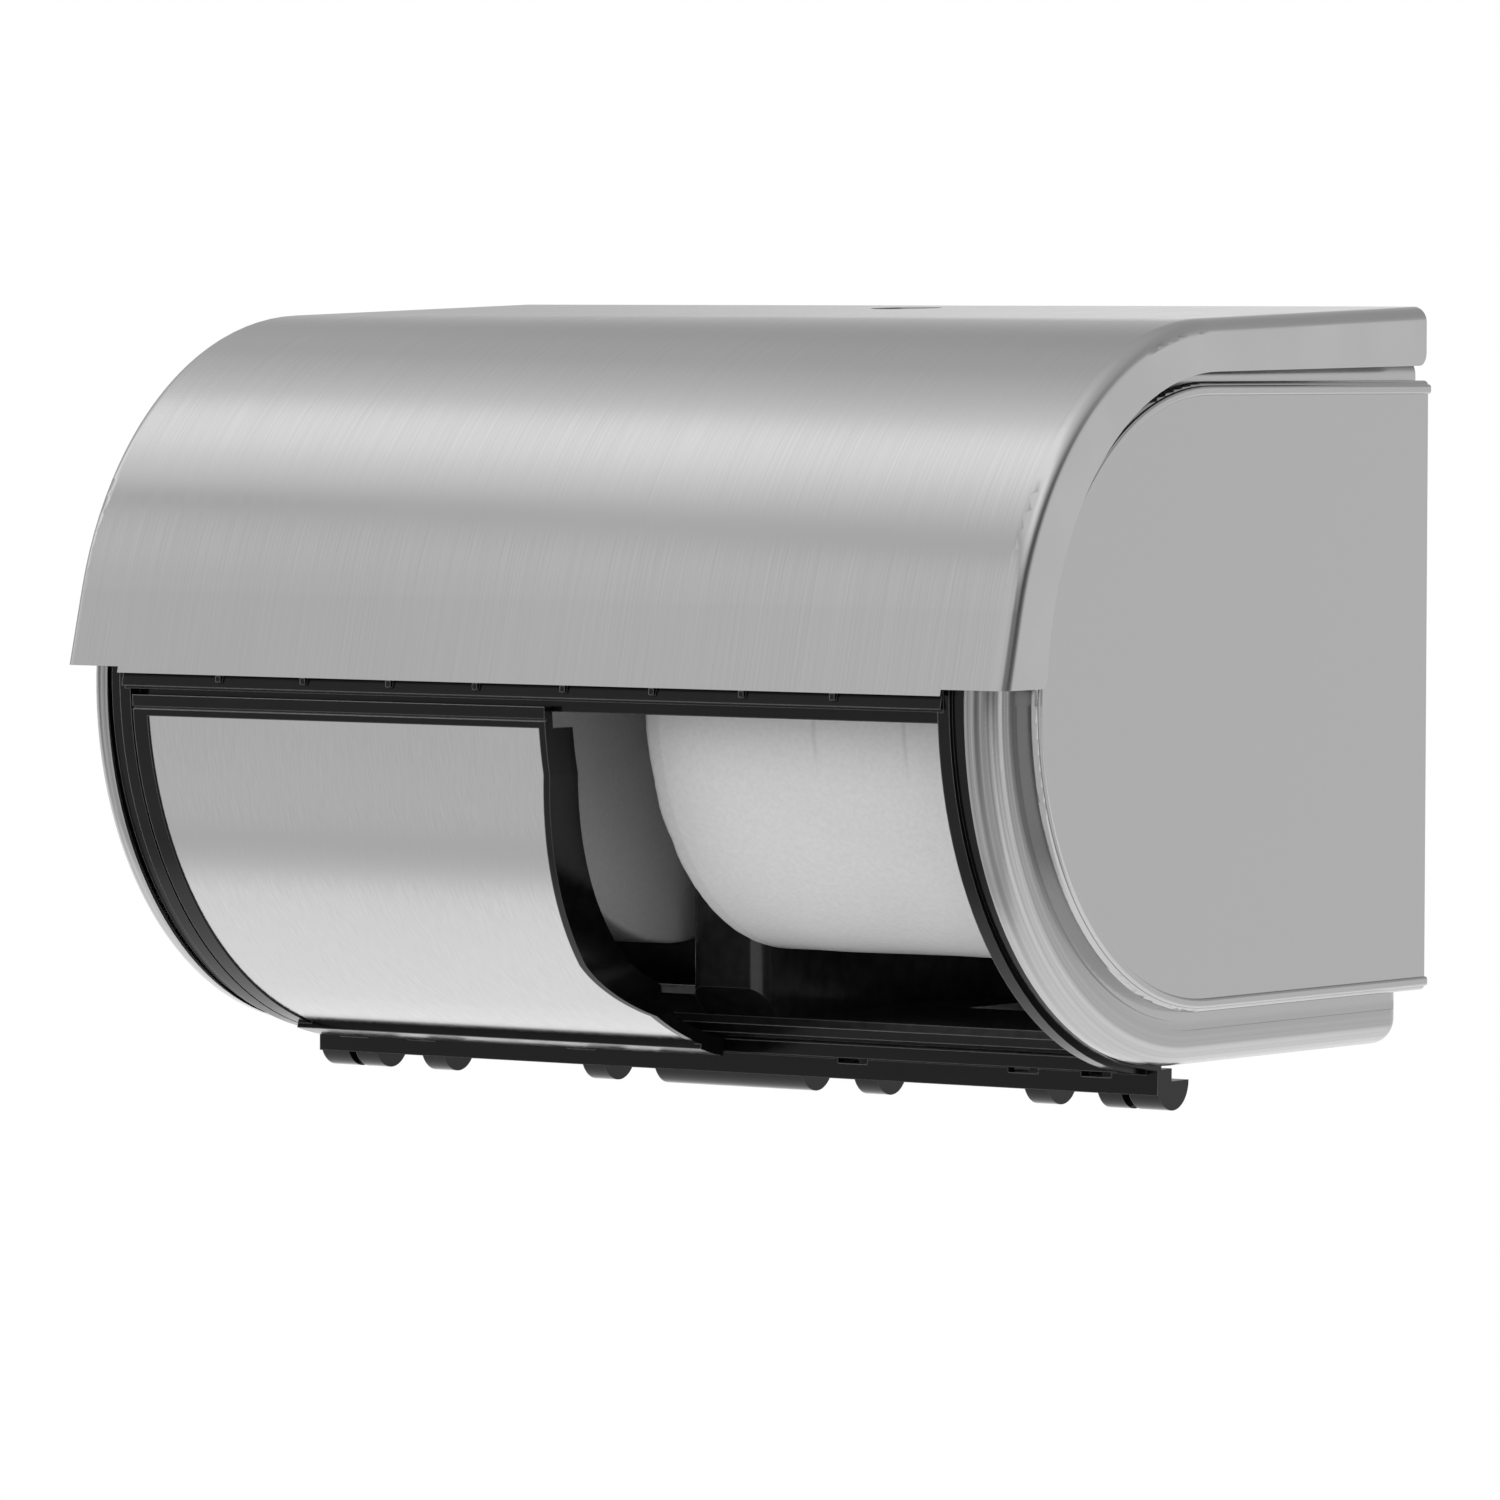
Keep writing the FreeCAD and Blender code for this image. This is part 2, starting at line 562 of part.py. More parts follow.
panel_outer = fuse("panel_outer", panel_form("panel_out", "0", "0", rim_inner, outer_end))
panel_inner = fuse("panel_inner", panel_form("panel_in", "panel_sheet", "panel_sheet",
                                             f"({rim_inner} - panel_sheet)", inner_end))
panel_pressed = cut("panel_pressed", panel_outer, panel_inner)
panel_grooved = cut("panel_grooved", panel_pressed, groove)
right_end_panel = fuse("right_end_panel", [panel_grooved, bead])
pieces += [right_end_panel, mirrored("left_end_panel", right_end_panel)]

# Rolls and the hubs that hold them.
spigot = "(roll_bore - hub_play)"
wall_back = f"({rim_inner} - wall_gap)"
wall_face = f"({wall_back} - wall_thick)"
roll_outer = f"({wall_face} - hub_flange_thick - hub_end_play)"
right_roll = turned("right_roll", [
    ("roll_inner", "roll_bore"),
    ("roll_inner", "roll_radius - roll_edge", "-roll_edge"),
    ("roll_inner + roll_edge", "roll_radius"),
    (f"{roll_outer} - roll_edge", "roll_radius", "-roll_edge"),
    (roll_outer, "roll_radius - roll_edge"),
    (roll_outer, "roll_bore"),
])
neck = f"({spigot} + hub_nose)"
right_inner_hub = turned("right_inner_hub", [
    ("post_half", "0"),
    ("post_half", "hub_flange"),
    ("post_half + hub_flange_thick", "hub_flange"),
    ("post_half + hub_flange_thick", neck),
    ("roll_inner - hub_end_play", neck),
    ("roll_inner - hub_end_play", spigot),
    ("roll_inner + hub_length - hub_nose", spigot),
    ("roll_inner + hub_length", f"{spigot} - hub_nose"),
    ("roll_inner + hub_length", "0"),
])
right_outer_hub = turned("right_outer_hub", [
    (wall_face, "0"),
    (wall_face, "hub_flange"),
    (f"{wall_face} - hub_flange_thick", "hub_flange"),
    (f"{wall_face} - hub_flange_thick", spigot),
    (f"{roll_outer} - hub_length + hub_nose", spigot),
    (f"{roll_outer} - hub_length", f"{spigot} - hub_nose"),
    (f"{roll_outer} - hub_length", "0"),
])
pieces += [right_roll, mirrored("left_roll", right_roll)]
pieces += [right_inner_hub, mirrored("left_inner_hub", right_inner_hub)]
pieces += [right_outer_hub, mirrored("left_outer_hub", right_outer_hub)]

# Side walls, with bosses that reach the end panels and the screws in them.
BOSSES = [("-axis_depth / 3", "wall_radius * 0.7"), ("-axis_depth / 3", "-wall_radius * 0.7"),
          ("-axis_depth - wall_radius * 0.7", "0")]
wall_plate = new_body("wall_plate")
pad(wall_plate, "wall_plate_pad", "YZ_Plane", [
    ("-back_thick", "-wall_radius"),
    ("-back_thick", "wall_radius"),
    ("-axis_depth", "wall_radius", "wall_radius"),
    ("-axis_depth - wall_radius", "0", "wall_radius"),
    ("-axis_depth", "-wall_radius"),
], wall_face, "wall_thick")
bosses = []
screw_holes = []
side_screws = []
for number, (boss_y, boss_z) in enumerate(BOSSES, start=1):
    bosses.append(cylinder(f"boss_{number}", "boss_radius", f"{d_face} - panel_sheet - {wall_back}",
                           (wall_back, boss_y, boss_z), (1, 0, 0)))
    for part_name, radius, length, offset in (("head", "screw_head", "screw_head_thick", "0"),
                                              ("shank", "screw_radius", "screw_length", "screw_head_thick")):
        place = (f"{wall_face} + {offset}", boss_y, boss_z)
        screw_holes.append(cylinder(f"screw_hole_{number}_{part_name}", f"{radius} + hinge_play", length,
                                    place, (1, 0, 0)))
    head = cylinder(f"screw_head_{number}", "screw_head", "screw_head_thick",
                    (wall_face, boss_y, boss_z), (1, 0, 0))
    shank = cylinder(f"screw_shank_{number}", "screw_radius", "screw_length",
                     (f"{wall_face} + screw_head_thick", boss_y, boss_z), (1, 0, 0))
    right_screw = fuse(f"right_side_screw_{number}", [head, shank])
    side_screws += [right_screw, mirrored(f"left_side_screw_{number}", right_screw)]
wall_with_bosses = fuse("wall_with_bosses", [wall_plate] + bosses)
right_side_wall = cut("right_side_wall", wall_with_bosses, fuse("screw_holes", screw_holes))
pieces += [right_side_wall, mirrored("left_side_wall", right_side_wall), group("side_screws", side_screws)]

# Back plate, with ribs, wall screw holes and the holes for the post's screws.
floor_under = "(floor_top - floor_thick)"
back_plate = new_body("back_plate_form")
pad(back_plate, "back_plate_pad", "XZ_Plane", [
    (f"-{wall_back}", floor_under),
    (wall_back, floor_under),
    (wall_back, "back_top"),
    (f"-{wall_back}", "back_top"),
], "0", "back_thick")
for number, side in enumerate(("-1", "1"), start=1):
    middle = f"{side} * ({wall_face} - back_rib * 4)"
    pad(back_plate, f"back_rib_{number}", "XZ_Plane", [
        (f"{middle} - back_thick / 2", "-wall_hole_z * 0.8"),
        (f"{middle} + back_thick / 2", "-wall_hole_z * 0.8"),
        (f"{middle} + back_thick / 2", "wall_hole_z * 0.8"),
        (f"{middle} - back_thick / 2", "wall_hole_z * 0.8"),
    ], "back_thick / 2", "back_thick / 2 + back_rib")
hole_pads = []
wall_holes = []
for number, (side_x, side_z) in enumerate(((-1, -1), (1, -1), (1, 1), (-1, 1)), start=1):
    hole_x = f"{side_x} * wall_hole_x / 2"
    hole_z = f"{side_z} * wall_hole_z / 2"
    hole_pads.append(cylinder(f"wall_hole_pad_{number}", "wall_hole_pad", "back_thick / 2 + back_thick",
                              (hole_x, "0", hole_z), (0, -1, 0)))
    wall_holes.append(cylinder(f"wall_hole_{number}", "wall_hole_radius", "4 * back_thick",
                               (hole_x, "back_thick", hole_z), (0, -1, 0)))
POST_SCREWS = ["post_head / 2", "floor_top / 2"]
post_screws = []
for number, height in enumerate(POST_SCREWS, start=1):
    wall_holes.append(cylinder(f"post_screw_head_hole_{number}", "screw_head + hinge_play",
                               "screw_head_thick", ("0", "0", height), (0, -1, 0)))
    wall_holes.append(cylinder(f"post_screw_hole_{number}", "screw_radius + hinge_play", "screw_length",
                               ("0", "-screw_head_thick", height), (0, -1, 0)))
    head = cylinder(f"post_screw_head_{number}", "screw_head", "screw_head_thick",
                    ("0", "0", height), (0, -1, 0))
    shank = cylinder(f"post_screw_shank_{number}", "screw_radius", "screw_length",
                     ("0", "-screw_head_thick", height), (0, -1, 0))
    post_screws.append(fuse(f"post_screw_{number}", [head, shank]))
back_with_pads = fuse("back_with_pads", [back_plate] + hole_pads)
wall_hole_set = fuse("wall_hole_set", wall_holes)
pieces += [cut("back_plate", back_with_pads, wall_hole_set), group("post_screws", post_screws)]

# Floor, with drain slots and the lugs that hold the hinge rod.
floor = new_body("floor_form")
floor_half = f"({wall_face} - hub_end_play)"
frame_half = f"({rim_inner} - frame_gap)"
pad(floor, "floor_pad", "YZ_Plane", [
    ("-floor_front", floor_under),
    ("-back_thick", floor_under),
    ("-back_thick", "floor_top"),
    ("-floor_front", "floor_top"),
], f"-{floor_half}", f"2 * {floor_half}")
for side_name, sign in (("left", -1), ("right", 1)):
    for number, (share, widths) in enumerate(LUGS, start=1):
        width = f"{widths} * hook_width"
        pad(floor, f"{side_name}_lug_{number}", "YZ_Plane", [
            ("-curve_depth - lug_radius", floor_under),
            ("-curve_depth - lug_radius", "-hinge_drop", "lug_radius"),
            ("-curve_depth", "-hinge_drop - lug_radius", "lug_radius"),
            ("-curve_depth + lug_radius", "-hinge_drop"),
            ("-curve_depth + lug_radius", floor_under),
        ], f"{sign * share} * {frame_half} - {width} / 2", width)
    slot_start = f"{sign} * {floor_half} / 2 - slot_width / 2"
    pocket(floor, f"{side_name}_slot", "YZ_Plane", [
        ("-back_thick - slot_depth * 1.5", f"{floor_under} - floor_thick"),
        ("-back_thick - slot_depth / 2", f"{floor_under} - floor_thick"),
        ("-back_thick - slot_depth / 2", "floor_top + floor_thick"),
        ("-back_thick - slot_depth * 1.5", "floor_top + floor_thick"),
    ], slot_start, "slot_width")
rod_half = f"({frame_half} - end_hook_width - rod_end_gap)"
rod_place = (f"-{rod_half}", "-curve_depth", "-hinge_drop")
rod_hole = cylinder("rod_hole", "hinge_rod_radius + hinge_play", f"2 * {rod_half}", rod_place, (1, 0, 0))
hinge_rod = cylinder("hinge_rod", "hinge_rod_radius", f"2 * {rod_half}", rod_place, (1, 0, 0))
pieces += [cut("floor_tray", floor, rod_hole), hinge_rod]

# Centre post: a hollow upright with a round head that carries the inner hubs.
post = new_body("post_form")
post_front = "(axis_depth + post_ahead)"
post_step = "post_wall * 3"


def post_outline(inset, rear):
    """Side view of the post, moved in by inset."""
    head = f"(post_head - {inset})"
    front = f"({post_front} - {inset})"
    neck_height = f"-sqrt({head}^2 - ({front} - axis_depth)^2)"
    return [
        (rear, f"floor_top + {inset}"),
        (rear, head),
        ("-axis_depth", head, head),
        (f"-axis_depth - {head}", "0", head),
        (f"-{front}", neck_height),
        (f"-{front}", f"floor_top + {post_step}"),
        (f"-{front} + {post_step}", f"floor_top + {inset}"),
    ]


pad(post, "post_pad", "YZ_Plane", post_outline("0", "-back_thick"), "-post_half", "2 * post_half")
round_edges(post, "post_front_round", "post_round", lambda edge: (
    level(edge, "Y", -value(post_front)) and edge.BoundBox.ZLength > 1))
post_space = new_body("post_space")
pad(post_space, "post_space_pad", "YZ_Plane", post_outline("post_wall", "-back_thick - screw_length"),
    "-post_half + post_wall", "2 * post_half - 2 * post_wall")
post_hollow = cut("post_hollow", post, post_space)
pieces.append(cut("center_post", post_hollow, wall_hole_set))

# Front frame: side rails, top rail, lip, wall behind the hood, bottom rail, skirt and hinge hooks.
frame = new_body("frame_form")
rail_inner = f"({frame_half} - rail_width)"
frame_front = "(-curve_depth - frame_radius)"
rail_inside = "(frame_radius - rail_depth)"
door_inner = "(frame_radius - door_border_rise - door_skin_thick - door_shell)"
sill_lip = f"({door_inner} - door_gap)"
across = (f"-{rail_inner} - rail_ledge / 2", f"2 * {rail_inner} + rail_ledge")
pad(frame, "top_rail", "YZ_Plane", [
    (frame_front, "top_rail_low"),
    (f"{frame_front} + top_rail_depth", "top_rail_low"),
    (f"{frame_front} + top_rail_depth", "top_rail_high"),
    (frame_front, "top_rail_high"),
], *across)
pad(frame, "door_lip", "YZ_Plane", [
    (f"{frame_front} + lip_setback", "lip_low"),
    (f"{frame_front} + lip_setback + lip_thick", "lip_low"),
    (f"{frame_front} + lip_setback + lip_thick", "top_rail_high"),
    (f"{frame_front} + lip_setback", "top_rail_high"),
], *across)
for side_name, sign in (("right", 1), ("left", -1)):
    for stage, outer, first, width in (("rail", "frame_radius", rail_inner, "(rail_width - rail_ledge)"),
                                       ("ledge", "(frame_radius - rail_step)",
                                        f"({frame_half} - rail_ledge)", "rail_ledge")):
        start = first if sign > 0 else f"-({first} + {width})"
        pad(frame, f"{side_name}_{stage}", "YZ_Plane",
            band(outer, rail_inside, at_height(outer, "rail_top"), at_height(rail_inside, "rail_top"),
                 "sill_end_angle"), start, width)


def behind_hood(inset, height):
    """Point inside the hood's straight lower stretch, inset from its outer face."""
    reach = f"(hood_radius - ({inset})) / cos(hood_flare)"
    return (f"-axis_depth - {reach} + ({height}) * tan(hood_flare)", height)


wall_front = "hood_sheet + hood_wall_gap"
pad(frame, "hood_wall", "YZ_Plane", [
    behind_hood(wall_front, "top_rail_low / 2"),
    behind_hood(f"{wall_front} + hood_wall", "top_rail_low / 2"),
    behind_hood(f"{wall_front} + hood_wall", "hood_wall_top"),
    behind_hood(wall_front, "hood_wall_top"),
], *across)
rib_front = behind_hood("hood_sheet", "top_rail_high")[0]
for number in range(-RIBS_EACH_SIDE, RIBS_EACH_SIDE):
    pad(frame, f"edge_rib_{number + RIBS_EACH_SIDE + 1}", "YZ_Plane", [
        (rib_front, "top_rail_high / 2"),
        (f"{frame_front} + lip_setback", "top_rail_high / 2"),
        (f"{frame_front} + lip_setback", "hood_low - hinge_play"),
        (rib_front, "hood_low - hinge_play"),
    ], f"{number + 0.5} * rib_pitch - rib_width / 2", "rib_width")
pad(frame, "sill", "YZ_Plane",
    band("frame_radius", "(frame_radius - sill_depth)", at_curve("frame_radius", "sill_angle"),
         at_curve("(frame_radius - sill_depth)", "sill_angle"), "sill_end_angle"), *across)
sill_lip_in = f"({sill_lip} - sill_lip_thick)"
pad(frame, "sill_lip", "YZ_Plane",
    band(sill_lip, sill_lip_in, at_curve(sill_lip, "sill_lip_angle"), at_curve(sill_lip_in, "sill_lip_angle"),
         "sill_end_angle"), *across)
sill_middle = "(frame_radius - sill_depth / 2)"
web_angle = "(sill_angle + sill_depth)"
pad(frame, "sill_web", "YZ_Plane",
    band(sill_middle, sill_lip_in, at_curve(sill_middle, web_angle), at_curve(sill_lip_in, web_angle),
         "sill_end_angle"), *across)
stem_front = "(-curve_depth - hook_radius)"
stem_top = "curve_rise - frame_radius + sill_depth / 2"
pad(frame, "skirt", "YZ_Plane", [
    (stem_front, "-hinge_drop - skirt_low"),
    (f"{stem_front} + skirt_thick", "-hinge_drop - skirt_low"),
    (f"{stem_front} + skirt_thick", stem_top),
    (stem_front, stem_top),
], f"-{frame_half}", f"2 * {frame_half}")
barrel_width = f"(2 * {BARREL_SHARE} * {frame_half})"
stretches = [(f"-{barrel_width} / 2", barrel_width),
             (f"{frame_half} - end_hook_inset - end_hook_width", "end_hook_width"),
             (f"end_hook_inset - {frame_half}", "end_hook_width")]
for share in HOOKS:
    for sign in (1, -1):
        stretches.append((f"{sign * share} * {frame_half} - hook_width / 2", "hook_width"))
for number, (start, width) in enumerate(stretches, start=1):
    pad(frame, f"hook_{number}", "YZ_Plane", [
        (stem_front, "-hinge_drop", "hook_radius"),
        ("-curve_depth", "-hinge_drop - hook_radius", "hook_radius"),
        ("-curve_depth + hook_radius", "-hinge_drop"),
        (f"{stem_front} + hook_stem", "-hinge_drop"),
        (f"{stem_front} + hook_stem", stem_top),
        (stem_front, stem_top),
    ], start, width)
for number, share in enumerate(HOOKS, start=1):
    for side_name, sign in (("right", 1), ("left", -1)):
        middle = f"{sign * share} * {frame_half} - hook_width / 2"
        pocket(frame, f"{side_name}_window_{number}", "YZ_Plane", [
            (f"{stem_front} - skirt_thick", "-hinge_drop + window_drop"),
            (f"{stem_front} + skirt_thick", "-hinge_drop + window_drop"),
            (f"{stem_front} + skirt_thick", "-hinge_drop + window_drop + window_height"),
            (f"{stem_front} - skirt_thick", "-hinge_drop + window_drop + window_height"),
        ], f"{middle} - window_width / 2", "window_width")

# Studs welded to the hood, and the push nuts behind the frame's wall.
flare = value("hood_flare")
turn_in = FreeCAD.Rotation(FreeCAD.Vector(1, 0, 0), -flare).multVec(FreeCAD.Vector(0, 1, 0))
studs = []
stud_nuts = []
stud_holes = []
for number in range(-STUDS_EACH_SIDE, STUDS_EACH_SIDE + 1):
    stud_x = f"{number} * stud_pitch"
    tag = number + STUDS_EACH_SIDE + 1

    def along(distance):
        """Place on the stud's axis, at a distance in from the hood's inner face."""
        start_y, start_z = behind_hood("hood_sheet", "stud_height")
        return (stud_x, f"{start_y} + ({distance}) * cos(hood_flare)",
                f"{start_z} - ({distance}) * sin(hood_flare)")

    studs.append(cylinder(f"stud_{tag}", "stud_radius", "stud_length", along("0"), turn_in))
    stud_holes.append(cylinder(f"stud_hole_{tag}", "stud_radius + stud_play", "stud_length",
                               along("0"), turn_in))
    nut_start = "hood_wall_gap + hood_wall"
    nut = cylinder(f"stud_nut_disc_{tag}", "stud_nut_radius", "stud_nut_thick", along(nut_start), turn_in)
    nut_hole = cylinder(f"stud_nut_hole_{tag}", "stud_radius + hinge_play", "stud_nut_thick",
                        along(nut_start), turn_in)
    stud_nuts.append(cut(f"stud_nut_{tag}", nut, nut_hole))
frame_holes = fuse("frame_holes", stud_holes + [
    cylinder("hook_bearing", "hinge_rod_radius + hinge_play", f"2 * {rod_half} + 2 * hinge_rod_radius",
             (f"-{rod_half} - hinge_rod_radius", rod_place[1], rod_place[2]), (1, 0, 0))])
pieces += [cut("front_frame", frame, frame_holes), group("hood_studs", studs), group("stud_nuts", stud_nuts)]

# Sliding door: black carrier with raised borders and a return flange, and the skin let into it.
door_left = f"(-{rail_inner} + door_side_play)"
door_width = f"(door_right - {door_left})"
skin_inner = f"({door_inner} + door_shell)"
skin_outer = f"({skin_inner} + door_skin_thick)"
edge_start = "door_right - return_depth * 2"
rib_radius = "(frame_radius + door_rib_rise)"


def door_edge_line(inset, upwards):
    """The hollow right edge of the door, as corners from one end to the other."""
    line = [
        (f"door_right - {inset}", "0"),
        (f"door_right - {inset}", "scoop_top"),
        (f"door_right - {inset} - scoop_depth", "scoop_middle", "scoop_radius"),
        (f"door_right - {inset} - scoop_rise", "scoop_bottom"),
        (f"door_right - {inset} - scoop_rise", "scoop_bottom - hub_flange"),
    ]
    if not upwards:
        return line
    up = [corner[:2] for corner in reversed(line)]
    up[1] = (*up[1], "-scoop_radius")
    return up


carrier = new_body("door_carrier")
pad(carrier, "return_flange", "YZ_Plane",
    band(door_inner, f"({door_inner} - return_depth)", at_height(door_inner, "skin_top"),
         at_height(f"({door_inner} - return_depth)", "skin_top"), "return_bottom_angle"),
    edge_start, "return_depth * 2")
pad(carrier, "right_border", "YZ_Plane",
    band("frame_radius", door_inner, at_height("frame_radius", "door_top"), at_height(door_inner, "door_top"),
         "door_bottom_angle"), edge_start, "return_depth * 2")
left_far = "door_right - return_depth * 3"
pocket(carrier, "border_trim", "XZ_Plane", [
    (left_far, "0"),
    (left_far, "scoop_bottom - hub_flange"),
] + door_edge_line("door_edge", True), "axis_depth / 2", "roll_radius * 3")
pad(carrier, "door_back", "YZ_Plane",
    band(skin_inner, door_inner, at_height(skin_inner, "door_top"), at_height(door_inner, "door_top"),
         "door_bottom_angle"), door_left, door_width)
pad(carrier, "top_ridges", "YZ_Plane", [
    (*at_height("frame_radius", "door_top"), "frame_radius"),
    at_height("frame_radius", "skin_top"),
    (*at_height(door_inner, "skin_top"), f"-{door_inner}"),
    at_height(door_inner, "door_top"),
], door_left, door_width)
pad(carrier, "left_border", "YZ_Plane",
    band("frame_radius", door_inner, at_height("frame_radius", "door_top"), at_height(door_inner, "door_top"),
         "door_bottom_angle"), door_left, "door_border")
pad(carrier, "bottom_border", "YZ_Plane",
    band(rib_radius, door_inner, at_curve(rib_radius, "skin_bottom_angle"),
         at_curve(door_inner, "skin_bottom_angle"), "door_bottom_angle"), door_left, door_width)
tongue_front = f"({frame_front} + lip_setback + lip_thick + tongue_gap)"
tongue_low = "(lip_low - tongue_gap)"
pad(carrier, "tongue", "YZ_Plane", [
    (f"{frame_front} + lip_setback - door_gap", f"{tongue_low} - tongue_thick"),
    (f"{tongue_front} + tongue_thick", f"{tongue_low} - tongue_thick"),
    (f"{tongue_front} + tongue_thick", "top_rail_low - tongue_gap"),
    (tongue_front, "top_rail_low - tongue_gap"),
    (tongue_front, tongue_low),
    (f"{frame_front} + lip_setback - door_gap", tongue_low),
], f"{door_left} + door_border", f"{door_width} - 2 * door_border")
pocket(carrier, "ridge_groove", "YZ_Plane", [
    (f"{frame_front} - door_border_rise", "door_groove - door_groove_width"),
    (f"{frame_front} + door_border_rise + door_skin_thick", "door_groove - door_groove_width"),
    (f"{frame_front} + door_border_rise + door_skin_thick", "door_groove"),
    (f"{frame_front} - door_border_rise", "door_groove"),
], f"{door_left} - door_gap", f"{door_width} + 2 * door_gap")
right_far = "door_right + return_depth"
pocket(carrier, "edge_trim", "XZ_Plane", door_edge_line("0", False) + [
    (right_far, "scoop_bottom - hub_flange"),
    (right_far, "0"),
], "axis_depth / 2", "roll_radius * 3")
skin = new_body("door_skin")
seat = "(hinge_play / 2)"
pad(skin, "skin_sheet", "YZ_Plane", [
    (*at_height(skin_outer, f"(skin_top - {seat})"), skin_outer),
    at_curve(skin_outer, f"(skin_bottom_angle - {seat})"),
    (*at_curve(f"({skin_inner} + {seat})", f"(skin_bottom_angle - {seat})"), f"-({skin_inner} + {seat})"),
    at_height(f"({skin_inner} + {seat})", f"(skin_top - {seat})"),
], f"{door_left} + door_border + {seat}", f"{door_width} - door_border")
pocket(skin, "skin_trim", "XZ_Plane", door_edge_line(f"(door_edge + {seat})", False) + [
    (right_far, "scoop_bottom - hub_flange"),
    (right_far, "0"),
], "axis_depth / 2", "roll_radius * 3")
pieces += [carrier, skin]

# Key lock in the hood's top, and the keeper that its cam reaches when it is turned.
barrel_top = f"({lock_top} - lock_sink)"
barrel_low = f"({barrel_top} - lock_length)"
barrel = turned("lock_barrel", [
    ("0", barrel_low),
    ("lock_radius", barrel_low),
    ("lock_radius", barrel_top),
    ("0", barrel_top),
], "V_Axis", "lock_depth")
pocket(barrel, "key_slot", "XY_Plane", [
    ("-key_slot_width / 2", "-lock_depth - key_slot_length / 2"),
    ("key_slot_width / 2", "-lock_depth - key_slot_length / 2"),
    ("key_slot_width / 2", "-lock_depth + key_slot_length / 2"),
    ("-key_slot_width / 2", "-lock_depth + key_slot_length / 2"),
], f"{barrel_top} - key_slot_depth", "key_slot_depth * 2")
nut_top = f"({lock_top} - hood_sheet / cos(hood_slope) - nut_radius * tan(hood_slope) - hinge_play)"
lock_nut = turned("lock_nut", [
    ("lock_radius + hinge_play", f"{nut_top} - nut_thick"),
    ("nut_radius", f"{nut_top} - nut_thick"),
    ("nut_radius", nut_top),
    ("lock_radius + hinge_play", nut_top),
], "V_Axis", "lock_depth")
cam = new_body("lock_cam")
pad(cam, "cam_arm", "XZ_Plane", [
    ("-cam_width / 2", f"{barrel_low} - cam_thick"),
    ("cam_length", f"{barrel_low} - cam_thick"),
    ("cam_length", f"{barrel_low} + cam_tip"),
    ("cam_length - cam_thick", f"{barrel_low} + cam_tip"),
    ("cam_length - cam_thick", barrel_low),
    ("-cam_width / 2", barrel_low),
], "lock_depth - cam_width / 2", "cam_width")
keeper = new_body("lock_keeper")
keeper_low = f"({barrel_low} + keeper_gap)"
keeper_under = f"({barrel_low} + cam_tip + keeper_gap)"
keeper_inner = "(-lock_depth + cam_length - cam_thick - keeper_gap)"
pad(keeper, "keeper_hook", "YZ_Plane", [
    ("-back_thick", f"{keeper_under} - cam_tip"),
    ("-back_thick", f"{keeper_under} + keeper_sheet"),
    (f"{keeper_inner} - keeper_sheet", f"{keeper_under} + keeper_sheet"),
    (f"{keeper_inner} - keeper_sheet", keeper_low),
    (keeper_inner, keeper_low),
    (keeper_inner, keeper_under),
    ("-back_thick - keeper_sheet", keeper_under),
    ("-back_thick - keeper_sheet", f"{keeper_under} - cam_tip"),
], "-keeper_width / 2", "keeper_width")
pieces += [barrel, lock_nut, cam, keeper]

# Every object must have come out sound before anything is written.
doc.recompute()
for item in doc.Objects:
    if "Invalid" in item.State or "Error" in item.State:
        raise RuntimeError(f"{item.Name} ({item.Label}) failed: {item.State}")
os.makedirs("parts", exist_ok=True)
for piece in pieces:
    shape = piece.Shape
    if shape.isNull() or not shape.isValid() or not shape.Solids:
        raise RuntimeError(f"{piece.Label} has no sound shape")
    shape.exportStep(f"parts/{piece.Label}.step")
    print(f"{piece.Label}: {len(shape.Solids)} solid(s), {shape.Volume / 1000:.2f} cm3")
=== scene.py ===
# %% [markdown]
# A two-roll tissue dispenser for a wall, dressed for a studio picture.
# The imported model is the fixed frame: every piece below is in metres, in the same place as the CAD.
# The steel and plastic pieces keep their CAD shapes and get materials here. The two rolls of
# tissue are soft, so they are modelled again below, with their wound ends and creases.

# %% Load the frame
import bpy
import math
from mathutils import Matrix, Vector


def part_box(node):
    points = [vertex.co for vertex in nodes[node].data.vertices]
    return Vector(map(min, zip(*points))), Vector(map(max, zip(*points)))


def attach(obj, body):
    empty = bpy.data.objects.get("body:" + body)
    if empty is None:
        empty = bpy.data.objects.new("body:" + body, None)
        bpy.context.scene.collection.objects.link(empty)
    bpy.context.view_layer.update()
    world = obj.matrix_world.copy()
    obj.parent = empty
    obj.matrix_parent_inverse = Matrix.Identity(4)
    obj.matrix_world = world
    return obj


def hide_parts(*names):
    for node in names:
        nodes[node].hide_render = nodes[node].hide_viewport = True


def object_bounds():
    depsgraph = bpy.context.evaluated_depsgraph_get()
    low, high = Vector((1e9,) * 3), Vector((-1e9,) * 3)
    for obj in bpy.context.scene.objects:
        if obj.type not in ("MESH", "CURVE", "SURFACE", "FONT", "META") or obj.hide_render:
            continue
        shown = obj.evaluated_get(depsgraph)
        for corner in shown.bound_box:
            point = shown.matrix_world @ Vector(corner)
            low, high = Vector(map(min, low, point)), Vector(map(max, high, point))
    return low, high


MM = 0.001
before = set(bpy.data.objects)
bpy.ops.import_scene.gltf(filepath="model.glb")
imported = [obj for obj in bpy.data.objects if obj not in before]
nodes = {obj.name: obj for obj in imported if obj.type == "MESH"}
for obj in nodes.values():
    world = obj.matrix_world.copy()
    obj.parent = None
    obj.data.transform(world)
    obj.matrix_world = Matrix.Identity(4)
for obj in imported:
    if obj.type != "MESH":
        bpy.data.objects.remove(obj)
cad_low, cad_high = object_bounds()
